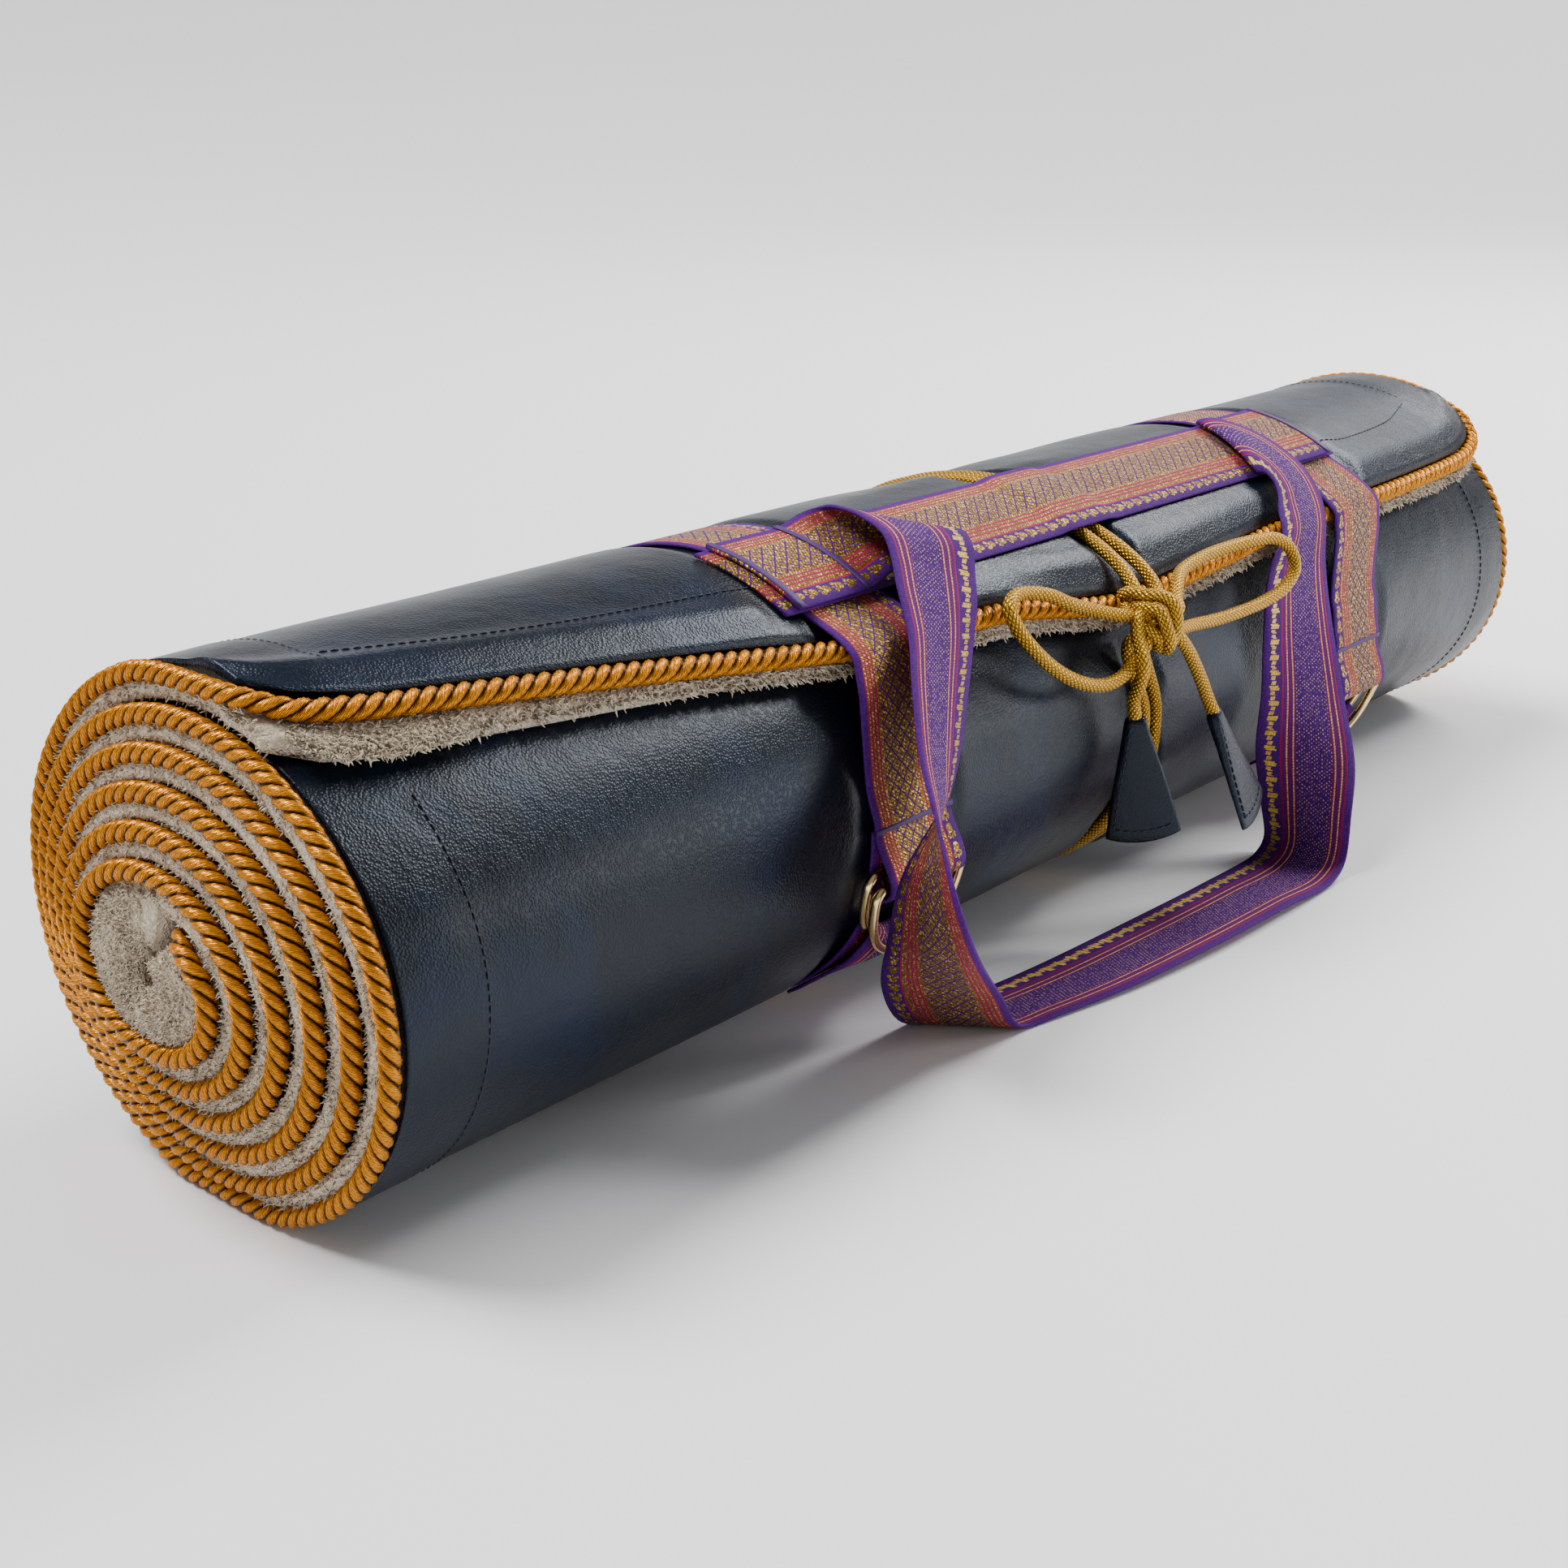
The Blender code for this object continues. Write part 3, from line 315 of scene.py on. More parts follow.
class Value:
    """A number in a node tree, which adds, scales and compares as numbers do."""

    def __init__(self, tree: bpy.types.NodeTree, socket: bpy.types.NodeSocket) -> None:
        self.tree = tree
        self.socket = socket

    def math(self, operation: str, *others: "Value | float") -> "Value":
        """This number and up to two others through a Math node."""
        node = self.tree.nodes.new("ShaderNodeMath")
        node.operation = operation
        for place, item in enumerate((self, *others)):
            if isinstance(item, Value):
                self.tree.links.new(item.socket, node.inputs[place])
            else:
                node.inputs[place].default_value = item
        return Value(self.tree, node.outputs[0])

    __add__, __sub__ = by_node("ADD"), by_node("SUBTRACT")
    __mul__, __truediv__ = by_node("MULTIPLY"), by_node("DIVIDE")
    __lt__, __gt__ = by_node("LESS_THAN"), by_node("GREATER_THAN")
    either = by_node("MAXIMUM")

    def __abs__(self) -> "Value":
        return self.math("ABSOLUTE")

    def fract(self) -> "Value":
        """The part after the point."""
        return self.math("FRACT")

    def whole(self) -> "Value":
        """The whole number below."""
        return self.math("FLOOR")

    def wave(self, period: float) -> "Value":
        """A sine wave of this period, from -1 to 1."""
        return (self * (FULL_TURN / period)).math("SINE")

    def rest(self) -> "Value":
        """1 where this mask is 0, and 0 where it is 1."""
        return self * -1.0 + 1.0

    def within(self, centre: float, half: float) -> "Value":
        """1 where this number lies within half of the centre, else 0."""
        return self.math("COMPARE", centre, half)

    def rise(self, low: float, high: float) -> "Value":
        """A smooth step from 0 at low to 1 at high."""
        node = self.tree.nodes.new("ShaderNodeMapRange")
        node.interpolation_type = "SMOOTHSTEP"
        self.tree.links.new(self.socket, node.inputs["Value"])
        node.inputs["From Min"].default_value = low
        node.inputs["From Max"].default_value = high
        return Value(self.tree, node.outputs["Result"])

    def spread(self, low: float, high: float) -> "Value":
        """This number, from 0 to 1, spread from low to high."""
        return self * (high - low) + low


def any_of(masks: Iterable[Value]) -> Value:
    """The largest of several numbers."""
    return reduce(Value.either, masks)


def slant(along: Value, across: Value, pitch: float, lean: float) -> Value:
    """Saw teeth from 0 to 1 on a slant, with these lengths along and across."""
    return ((along / pitch) + (across / lean)).fract()


class Tree:
    """A node tree with short ways to add what the finishes share."""

    def __init__(self, tree: bpy.types.NodeTree) -> None:
        self.tree = tree

    def feed(self, socket: bpy.types.NodeSocket, item: object) -> None:
        """Links a socket or value into an input, or sets it."""
        if isinstance(item, Value):
            self.tree.links.new(item.socket, socket)
        elif isinstance(item, bpy.types.NodeSocket):
            self.tree.links.new(item, socket)
        elif isinstance(item, tuple) and len(item) == 3 and socket.type == "RGBA":
            socket.default_value = (*item, 1.0)
        else:
            socket.default_value = item

    def fill(self, node: bpy.types.Node, **inputs: object) -> bpy.types.Node:
        """Sets or links a node's named inputs, with _ for a space."""
        for name, item in inputs.items():
            self.feed(node.inputs[name.replace("_", " ")], item)
        return node

    def new(self, kind: str, **inputs: object) -> bpy.types.Node:
        """Adds a node with its named inputs."""
        return self.fill(self.tree.nodes.new(kind), **inputs)

    def group(self, group: bpy.types.NodeTree, **inputs: object) -> list[Value]:
        """Adds a node group with its named inputs, and gives its outputs."""
        node = self.tree.nodes.new("ShaderNodeGroup")
        node.node_tree = group
        return [self.value(socket) for socket in self.fill(node, **inputs).outputs]

    def value(self, socket: bpy.types.NodeSocket) -> Value:
        """A socket as a number to reckon with."""
        return Value(self.tree, socket)

    def place(self) -> bpy.types.NodeSocket:
        """Object coordinates."""
        return self.new("ShaderNodeTexCoord").outputs["Object"]

    def noise(self, size: float, detail: float = 2.0) -> Value:
        """Noise from 0 to 1 with lumps of about this size in metres."""
        scale = 1.0 / size
        node = self.new("ShaderNodeTexNoise", Scale=scale, Detail=detail, Vector=self.place())
        return self.value(node.outputs[0])

    def cells(self, size: float) -> Value:
        """Distance from the middle in a field of cells of about this size in metres."""
        node = self.new("ShaderNodeTexVoronoi", Scale=1.0 / size, Vector=self.place())
        return self.value(node.outputs["Distance"])

    def mix(self, share: object, first: object, second: object) -> bpy.types.NodeSocket:
        """A colour from first, at share 0, to second, at share 1."""
        node = self.tree.nodes.new("ShaderNodeMix")
        node.data_type = "RGBA"
        for place, item in ((0, share), (6, first), (7, second)):
            self.feed(node.inputs[place], item)
        return node.outputs[2]

    def bump(self, height: Value, distance: float, strength: float = 1.0) -> bpy.types.NodeSocket:
        """A normal bent by a height from 0 to 1 that stands for this distance."""
        node = self.new("ShaderNodeBump", Strength=strength, Distance=distance, Height=height)
        return node.outputs["Normal"]

    def along_and_across(self) -> tuple[Value, Value]:
        """The two UV numbers."""
        uv = self.new("ShaderNodeUVMap")
        uv.uv_map = "UVMap"
        parts = self.new("ShaderNodeSeparateXYZ", Vector=uv.outputs[0])
        return self.value(parts.outputs[0]), self.value(parts.outputs[1])


def new_material(name: str) -> tuple[Material, Tree, bpy.types.Node]:
    """A material with its tree and its Principled shader."""
    made = bpy.data.materials.new(name)
    made.use_nodes = True
    return made, Tree(made.node_tree), made.node_tree.nodes["Principled BSDF"]


def new_group(name: str, inputs: Sequence[str], outputs: Sequence[str]) -> tuple:
    """A group that turns numbers into numbers: itself, its tree, its end and its inputs."""
    group = bpy.data.node_groups.new(name, "ShaderNodeTree")
    for titles, way in ((inputs, "INPUT"), (outputs, "OUTPUT")):
        for title in titles:
            group.interface.new_socket(title, in_out=way, socket_type="NodeSocketFloat")
    start, end = group.nodes.new("NodeGroupInput"), group.nodes.new("NodeGroupOutput")
    tree = Tree(group)
    return group, tree, end, [tree.value(start.outputs[title]) for title in inputs]


# Finishes, each of which makes its material


@dataclass(frozen=True)
class LeatherFinish:
    """Smooth navy leather with a fine pebble grain and clouded dye."""

    dark: Colour = (0.0018, 0.0028, 0.006)
    light: Colour = (0.0038, 0.0070, 0.015)
    blue: Colour = (0.0022, 0.010, 0.038)
    shine: Colour = (0.72, 0.85, 1.0)
    cloud: float = 75 * MM
    patch: float = 42 * MM
    worn: float = 30 * MM
    wrinkle: float = 17 * MM
    crease: float = 3.2 * MM
    grain: float = 0.85 * MM
    pore: float = 0.5 * MM
    grain_depth: float = 0.10 * MM
    roughness: tuple[float, float] = (0.24, 0.38)

    def build(self) -> Material:
        """Makes the material."""
        made, tree, shader = new_material("Navy leather")
        clouds = tree.noise(self.cloud, 5.0).rise(0.36, 0.66)
        patches = tree.noise(self.patch, 3.0).rise(0.50, 0.70)
        cells = tree.cells(self.grain).rise(0.15, 0.75)
        dyed = tree.mix(patches * 0.55, tree.mix(clouds, self.dark, self.light), self.blue)
        rough = tree.noise(self.worn, 3.0) + cells * 0.15
        height = (cells * -0.8) + (tree.noise(self.pore, 3.0) * 0.35)
        height = height + (tree.noise(self.crease) * 0.5) + tree.noise(self.wrinkle) * 7.0
        tree.fill(shader, Base_Color=tree.mix(cells * 0.35, dyed, self.dark),
                  Roughness=rough.spread(*self.roughness),
                  Normal=tree.bump(height, self.grain_depth), Specular_IOR_Level=0.2,
                  Specular_Tint=self.shine, Coat_Weight=0.08, Coat_Roughness=0.25)
        return made


@dataclass(frozen=True)
class FleeceFinish:
    """Short curly wool, with painted shade in the hollows between its locks."""

    # dark is the painted shade in the hollows between the locks.
    dark: Colour = (0.52, 0.40, 0.265)
    light: Colour = (0.88, 0.74, 0.54)
    lump: float = 9.0 * MM
    curl: float = 1.3 * MM
    depth: float = 0.9 * MM

    def build(self) -> Material:
        """Makes the material."""
        made, tree, shader = new_material("Grey fleece")
        lumps = tree.noise(self.lump, 4.0).rise(0.30, 0.68)
        curls = tree.noise(self.curl, 3.0).rise(0.33, 0.66)
        # The colour follows the bump: painted shade in the low places between the locks.
        tree.fill(shader, Base_Color=tree.mix(lumps * 0.5 + curls * 0.5, self.dark, self.light),
                  Normal=tree.bump(lumps * 0.6 + curls, self.depth, 0.9), Roughness=0.92,
                  Sheen_Weight=0.35, Sheen_Roughness=0.5)
        return made


@dataclass(frozen=True)
class RopeFinish:
    """Satin thread laid over the strands of a twisted rope, with UV along and around it."""

    bright: Colour = (0.92, 0.345, 0.002)
    # deep is the painted shade between the threads and also the colour of the stains.
    deep: Colour = (0.42, 0.125, 0.000)
    # groove is the painted shade colour where the strands meet.
    groove: Colour = (0.025, 0.005, 0.000)
    strands: int = 3
    thread: float = 1.0 * MM
    lean: float = 8.5 * MM
    fray: float = 0.9 * MM
    stain: float = 22 * MM
    depth: float = 0.26 * MM

    def build(self) -> Material:
        """Makes the material."""
        made, tree, shader = new_material("Gold rope")
        along, around = tree.along_and_across()
        crown = abs((around * float(self.strands)).fract() - 0.5).rise(0.49, 0.27)
        threads = (along + (around * (self.lean * self.strands))).wave(self.thread)
        threads = (threads * 0.5 + 0.5) * 0.7 + tree.noise(self.fray) * 0.5
        threads = threads.rise(0.2, 0.85)
        stained = tree.noise(self.stain).rise(0.55, 0.8) * 0.35
        # Painted shade: deep in the low places between threads, since threads also drives the
        # bump. The stained patches are real.
        satin = tree.mix(stained, tree.mix(threads, self.deep, self.bright), self.deep)
        # Painted shade: the crown mask darkens the colour to groove where the strands meet.
        tree.fill(shader, Base_Color=tree.mix(crown, self.groove, satin),
                  Roughness=threads.spread(0.40, 0.28), Normal=tree.bump(threads, self.depth),
                  Metallic=0.5, Specular_IOR_Level=0.3)
        return made


@dataclass(frozen=True)
class CordFinish:
    """Round braid of metallic thread, with UV along and around it."""

    bright: Colour = (0.80, 0.45, 0.04)
    # deep is the painted shade between the braid's crowns.
    deep: Colour = (0.20, 0.09, 0.004)
    pitch: float = 6.0 * MM
    braids: float = 3.0
    glitter: float = 0.55 * MM
    depth: float = 0.35 * MM

    def build(self) -> Material:
        """Makes the material."""
        made, tree, shader = new_material("Metallic cord")
        along, around = tree.along_and_across()
        turns = along / self.pitch
        left = abs(((turns * 3.0) + around * self.braids * 3.0).fract() - 0.5)
        right = abs(((turns * 3.0) - around * self.braids * 3.0).fract() - 0.5)
        crowns = left.rise(0.5, 0.12) * right.rise(0.5, 0.12)
        glint = tree.noise(self.glitter)
        # tone lightens the braid's crowns and leaves painted shade between them. It also adds
        # painted glints from the glint noise.
        tone = (crowns * 0.75 + (left > right) * 0.2 + glint * 0.3).rise(0.15, 1.05)
        tree.fill(shader, Base_Color=tree.mix(tone, self.deep, self.bright),
                  Roughness=glint.spread(0.28, 0.5),
                  Normal=tree.bump(crowns + glint * 0.3, self.depth, 0.9), Metallic=0.8)
        return made


@dataclass(frozen=True)
class BrassFinish:
    """Polished brass wire, softly worn."""

    bright: Colour = (0.86, 0.66, 0.31)
    dull: Colour = (0.58, 0.40, 0.16)
    patch: float = 4.0 * MM
    scratch: float = 0.7 * MM
    depth: float = 0.02 * MM

    def build(self) -> Material:
        """Makes the material."""
        made, tree, shader = new_material("Brass")
        wear = tree.noise(self.patch, 4.0).rise(0.45, 0.75)
        tree.fill(shader, Base_Color=tree.mix(wear * 0.6, self.bright, self.dull),
                  Roughness=wear.spread(0.16, 0.34),
                  Normal=tree.bump(tree.noise(self.scratch), self.depth, 0.5), Metallic=1.0)
        return made


@dataclass(frozen=True)
class ThreadFinish:
    """Sewing thread in one colour, twisted."""

    name: str
    colour: Colour
    twist: float = 0.5 * MM
    depth: float = 0.1 * MM
    shade: float = 0.45

    def build(self) -> Material:
        """Makes the material."""
        made, tree, shader = new_material(self.name)
        twist = tree.noise(self.twist)
        darker = tuple(part * self.shade for part in self.colour)
        tree.fill(shader, Base_Color=tree.mix(twist, darker, self.colour),
                  Normal=tree.bump(twist, self.depth, 0.6), Roughness=0.62)
        return made


@dataclass(frozen=True)
class BrocadeFinish:
    """Woven strap, 38 mm from its plain edge to its flower edge, with UV in mm.

    The gold face has a lattice between broken red lines. The purple reverse has pairs of
    orange lines and pale flecks. Both have a purple border with gold flower buds or steps.
    Lines are given by their middles in mm across the strap.
    """

    purple: Colour = (0.092, 0.003, 0.215)
    dark_purple: Colour = (0.042, 0.001, 0.110)
    magenta: Colour = (0.22, 0.002, 0.080)
    red: Colour = (0.36, 0.004, 0.066)
    orange: Colour = (0.85, 0.20, 0.02)
    gold: Colour = (0.42, 0.235, 0.012)
    dark_gold: Colour = (0.13, 0.06, 0.002)
    # pale is the colour of the pale flecks and the light thread, and also of the painted glints
    # on the gold face.
    pale: Colour = (0.95, 0.66, 0.20)
    weft: float = 0.62
    warp: float = 0.55
    repeat: float = 6.2
    petals: tuple = ((0.9, -0.1, 1.75, 1.45), (-1.35, 1.25, 1.0, 0.8), (-1.35, -1.35, 1.0, 0.75),
                     (-2.2, 0.0, 0.8, 0.35))
    gold_border: float = 34.0
    purple_border: float = 32.3
    red_lines: tuple[float, ...] = (4.3, 5.9, 7.5, 25.6, 27.2, 28.8)
    gold_edges: tuple[float, ...] = (2.75, 31.2)
    orange_lines: tuple[float, ...] = (4.9, 7.5, 23.5, 26.1)
    crimson_lines: tuple[float, ...] = (3.1, 28.4)
    lattice: tuple[float, float] = (5.6, 5.0)
    fleck: tuple[float, float] = (1.5, 0.95)

    def threads(self) -> bpy.types.NodeTree:
        """Group: the weave's height and its uneven tone, from mm along and across."""
        names = ["Along", "Across"]
        group, tree, end, (along, across) = new_group("Threads", names, ["Height", "Tone"])
        weft, warp = along.wave(self.weft) * 0.5 + 0.5, across.wave(self.warp) * 0.5 + 0.5
        tree.fill(end, Height=weft.either(warp) * 0.6 + tree.noise(0.6 * MM) * 0.5,
                  Tone=tree.noise(0.8 * MM, 3.0).rise(0.3, 0.7))
        return group

    def border(self, name: str, motif: Callable[[Value, Value, Value], Value]):
        """Group: mask of a border, from mm along it and mm off its middle."""
        group, tree, end, (along, off) = new_group(name, ["Along", "Off"], ["Mask"])
        place = ((along / self.repeat).fract() - 0.5) * self.repeat
        tree.fill(end, Mask=motif(along, place, off))
        return group

    def bud(self, along: Value, place: Value, off: Value) -> Value:
        """Mask of a flower bud of round petals."""
        spots = [((place - x) / wide, (off - y) / high) for x, y, wide, high in self.petals]
        return any_of((u * u + v * v) < 1.0 for u, v in spots)

    def steps(self, along: Value, place: Value, off: Value) -> Value:
        """Mask of a stepped bar and its feet."""
        jag = ((((along / 0.7).whole() * 0.7) / 2.8).fract() - 0.5) * 0.9
        bar = (abs(place) < 0.95) * (abs(off + jag) < 2.1)
        return bar.either((abs(abs(place) - 2.1) < 0.75) * (abs(off + jag - 0.5) < 1.0))

    def lines(self, across: Value, places: Sequence[float], half: float) -> Value:
        """Mask of lines along the strap, this wide to each side."""
        return any_of(across.within(place, half) for place in places)

    def gold_face(self, tree: Tree, along: Value, across: Value, tone: Value) -> tuple:
        """The gold face's colour and the mask of its metal thread."""
        ground = tree.mix(tone, self.dark_purple, self.purple)
        inside, middle = across.within(17.0, 14.0), across.within(16.6, 7.4)
        red = self.lines(across, self.red_lines, 0.34)
        pitch, lean = self.lattice
        u = slant(along, across, pitch, lean) - 0.5
        v = (along / pitch - across / lean).fract() - 0.5
        lattice = ((abs(u) < 0.075).either(abs(v) < 0.075)) * middle
        dots = ((abs(abs(u) - 0.5) < 0.10) * (abs(abs(v) - 0.5) < 0.10)) * middle
        bare = lattice.either(dots)
        twill = inside * (slant(along, across, 1.25, 1.9) < 0.72)
        [bud] = tree.group(self.border("Buds", self.bud), Along=along,
                          Off=across - self.gold_border)
        metal = (twill * bare.rest() * red.rest()).either(bud)
        golden = tree.mix(tone, self.dark_gold, self.gold)
        # Painted glints: the gold turns pale where the uneven tone is highest.
        painted_glint = tree.mix((tone > 0.80) * 0.9, golden, self.pale)
        floor = tree.mix(inside, ground, self.dark_gold)
        floor = tree.mix(inside * middle.rest() * 0.8, floor, self.magenta)
        woven = tree.mix(metal, tree.mix(bare, floor, ground), painted_glint)
        broken = red * (slant(along, across, 1.7, 3.0) < 0.80)
        drawn = broken.either(self.lines(across, self.gold_edges, 0.3))
        return tree.mix(drawn, woven, self.red), metal

    def purple_face(self, tree: Tree, along: Value, across: Value, tone: Value) -> tuple:
        """The purple reverse's colour and the mask of its metal thread."""
        ground = tree.mix(tone, self.dark_purple, self.purple)
        beside = across.within(6.0, 3.2).either(across.within(25.6, 3.2))
        slanted = slant(along, across, 1.3, 1.5) < 0.5
        tinted = tree.mix(beside * slanted * 0.75, ground, self.magenta)
        crossed = tree.mix(self.lines(across, self.crimson_lines, 0.26), tinted, self.red)
        broken = self.lines(across, self.orange_lines, 0.27)
        broken = broken * (slant(along, across, 1.1, 2.2) < 0.82)
        lined = tree.mix(broken, crossed, tree.mix(tone, self.orange, self.pale))
        long, high = self.fleck
        row = (across / high).whole()
        flecks = ((along / long + row * 0.5).fract() < 0.36) * ((across / high).fract() < 0.44)
        pale_here = flecks * (tone > 0.45) * across.within(15.5, 6.9)
        flecked = tree.mix(pale_here * 0.6, lined, self.pale)
        [steps] = tree.group(self.border("Ladder", self.steps), Along=along,
                            Off=across - self.purple_border)
        metal = steps * across.within(self.purple_border, 2.7)
        return tree.mix(metal, flecked, tree.mix(tone * 0.6, self.gold, self.pale)), metal

    def build(self) -> tuple[Material, Material]:
        """Makes both faces' materials, the gold one first."""
        threads, made = self.threads(), []
        for name, face in (("gold", self.gold_face), ("purple", self.purple_face)):
            look, tree, shader = new_material(f"Brocade {name} face")
            along, across = tree.along_and_across()
            height, tone = tree.group(threads, Along=along, Across=across)
            colour, metal = face(tree, along, across, tone)
            tree.fill(shader, Base_Color=colour, Metallic=metal * 0.7,
                      Roughness=(metal * -0.33) + tone * 0.12 + 0.64,
                      Normal=tree.bump(height + metal * 0.55, 0.28 * MM, 0.9),
                      Specular_IOR_Level=0.2)
            made.append(look)
        return tuple(made)


# The winding


def turn_at(whole: float, degrees: Array) -> Array:
    """The turn number at degrees past the top of a whole turn."""
    return whole + degrees / 360.0


@dataclass(frozen=True)
class Winding:
    """The spiral that the sheet is rolled in, slightly flattened and flat on the floor."""

    pitch: float = 9.8 * MM
    radius_y: float = 85.3 * MM
    radius_z: float = 78.5 * MM
    core_shift: float = 4.1 * MM
    turns_shifted: float = 5.6
    flap_lift: float = 1.0 * MM
    half_length: float = 323.5 * MM
    core_push: float = 17.3 * MM
    first_turn: float = 0.125
    plain_turn: float = 5.875
    round_turn: float = FULL_TURN * 80.0 * MM
    core_hole: float = 4.5 * MM
    leather: float = 2.0 * MM
    fleece_face: float = 2.3 * MM
    tie_x: float = 12.0 * MM
    bed_gap: float = 0.35 * MM
    lifted_gap: float = 0.9 * MM
    belt_depth: float = 1.5 * MM
    belt_reach: tuple[float, float] = (20.5 * MM, 29 * MM)
    tie_reach: tuple[float, float] = (6.0 * MM, 15.0 * MM)
    tie_steepness: float = 1.4
    pressed_turns: tuple[float, float] = (5.15, 5.2)
    belts: tuple[float, float] = (-125.0 * MM, 176.0 * MM)
    lifted: tuple[float, float] = (5.85, 5.95)
    flap_edge: tuple[tuple[float, float], ...] = (
        (-323.5, 12.0), (-316.0, 19.0), (-300.0, 23.0), (-270.0, 27.0), (-225.0, 32.5),
        (-152.0, 41.3), (-125.0, 44.0), (-63.0, 46.0), (5.4, 53.0), (80.0, 50.5),
        (121.0, 48.5), (203.0, 48.2), (250.0, 47.4), (290.0, 46.0), (314.0, 41.0),
        (323.5, 33.0),
    )
    tie_groove: tuple[tuple[float, float], ...] = (
        (0, 5.2), (36, 5.2), (45, 1.0), (110, 1.0), (150, 5.2), (210, 5.2), (240, 2.0),
        (320, 2.0), (350, 5.2), (360, 5.2),
    )
    hang_at: tuple[tuple[float, float], ...] = (
        (-323.5, 18.0), (-290.0, 14.0), (-250.0, 9.5), (-170.0, 7.5), (323.5, 8.0),
    )
    lip: tuple[tuple[float, float], ...] = (
        (-1.0, 2.3), (0.2, 3.6), (1.6, 5.0), (4.0, 5.9), (6.0, 5.6), (8.0, 5.0), (10.0, 5.2),
        (11.0, 6.2), (13.0, 6.8),
    )
    bulge: tuple[tuple[float, float], ...] = (
        (0.0, 0.0), (0.08, 2.2), (0.25, 4.6), (0.55, 5.3), (0.80, 4.9), (0.95, 3.6), (1.0, 2.0),
    )

    def axis(self) -> float:
        """Height of the winding's axis over the floor."""
        return (self.radius_z - 0.525 * self.pitch) * math.cos(math.pi / 20)

    def towards_core(self, most: float, turn: Array) -> Array:
        """A distance that grows evenly from the last turn to this much at the core."""
        return most * (LAST_TURN - turn) / self.turns_shifted

    def at(self, x: Array, turn: Array, out: Array = 0.0) -> Array:
        """Points along the roll and round it, at heights off the leather's outer face."""
        x, turn, out = np.broadcast_arrays(*(np.asarray(item, float) for item in (x, turn, out)))
        inside = (LAST_TURN - turn) * self.pitch
        angle = FULL_TURN * turn
        height = out + self.flap_lift * ease(*self.lifted, turn)
        y = self.towards_core(self.core_shift, turn)
        y = y - (self.radius_y - inside + height) * np.sin(angle)
        z = self.axis() + (self.radius_z - inside + height) * np.cos(angle)
        low = self.axis() + (self.radius_z - inside) * np.cos(angle)
        return np.stack([x, y, z + np.maximum(0.0, -low)], axis=-1)

    def bed(self, x: Array, turn: Array) -> Array:
        """Points of the fleece's inner face, which nests on the turn inside it."""
        x, turn = np.broadcast_arrays(np.asarray(x, float), np.asarray(turn, float))
        gap = self.bed_gap + self.lifted_gap * ease(*self.lifted, turn)
        nested = self.at(x, turn - 1.0, gap)
        angle = FULL_TURN * turn
        shift = self.towards_core(self.core_shift, turn)
        across, up = self.core_hole * np.sin(angle), self.core_hole * np.cos(angle)
        core = np.stack([x, shift - across, self.axis() + up], axis=-1)
        return np.where((turn < 1.0)[..., None], core, nested)

    def ends(self, turn: Array) -> tuple[Array, Array]:
        """The sheet's two ends in x, pushed towards -X at the core."""
        push = self.towards_core(self.core_push, np.minimum(turn, LAST_TURN))
        return -self.half_length - push, self.half_length - push

    def flap(self, x: Array) -> Array:
        """Turn number of the leather's free edge."""
        return turn_at(LAST_TURN, smooth_table(self.flap_edge, np.asarray(x) / MM))

    def hang(self, x: Array) -> Array:
        """How far the fleece's lip hangs past the leather's edge, in mm."""
        return smooth_table(self.hang_at, x / MM)

    def tie_depth(self, turn: Array) -> Array:
        """Depth of the tie's groove round the roll."""
        places, depths = np.array(self.tie_groove).T
        return np.interp((np.asarray(turn) % 1.0) * 360.0, places, depths) * MM

    def dip(self, x: Array, turn: Array) -> Array:
        """Depth that the harness presses into the outer turn."""
        belt = np.zeros(np.broadcast(x, turn).shape)
        for centre in self.belts:
            beside = np.abs(x - centre)
            belt = np.maximum(belt, self.belt_depth * (1 - ease(*self.belt_reach, beside)))
        beside = np.abs(x - self.tie_x)
        tie = self.tie_depth(turn) * (1 - ease(*self.tie_reach, beside)) ** self.tie_steepness
        return ease(*self.pressed_turns, turn) * (belt + tie)


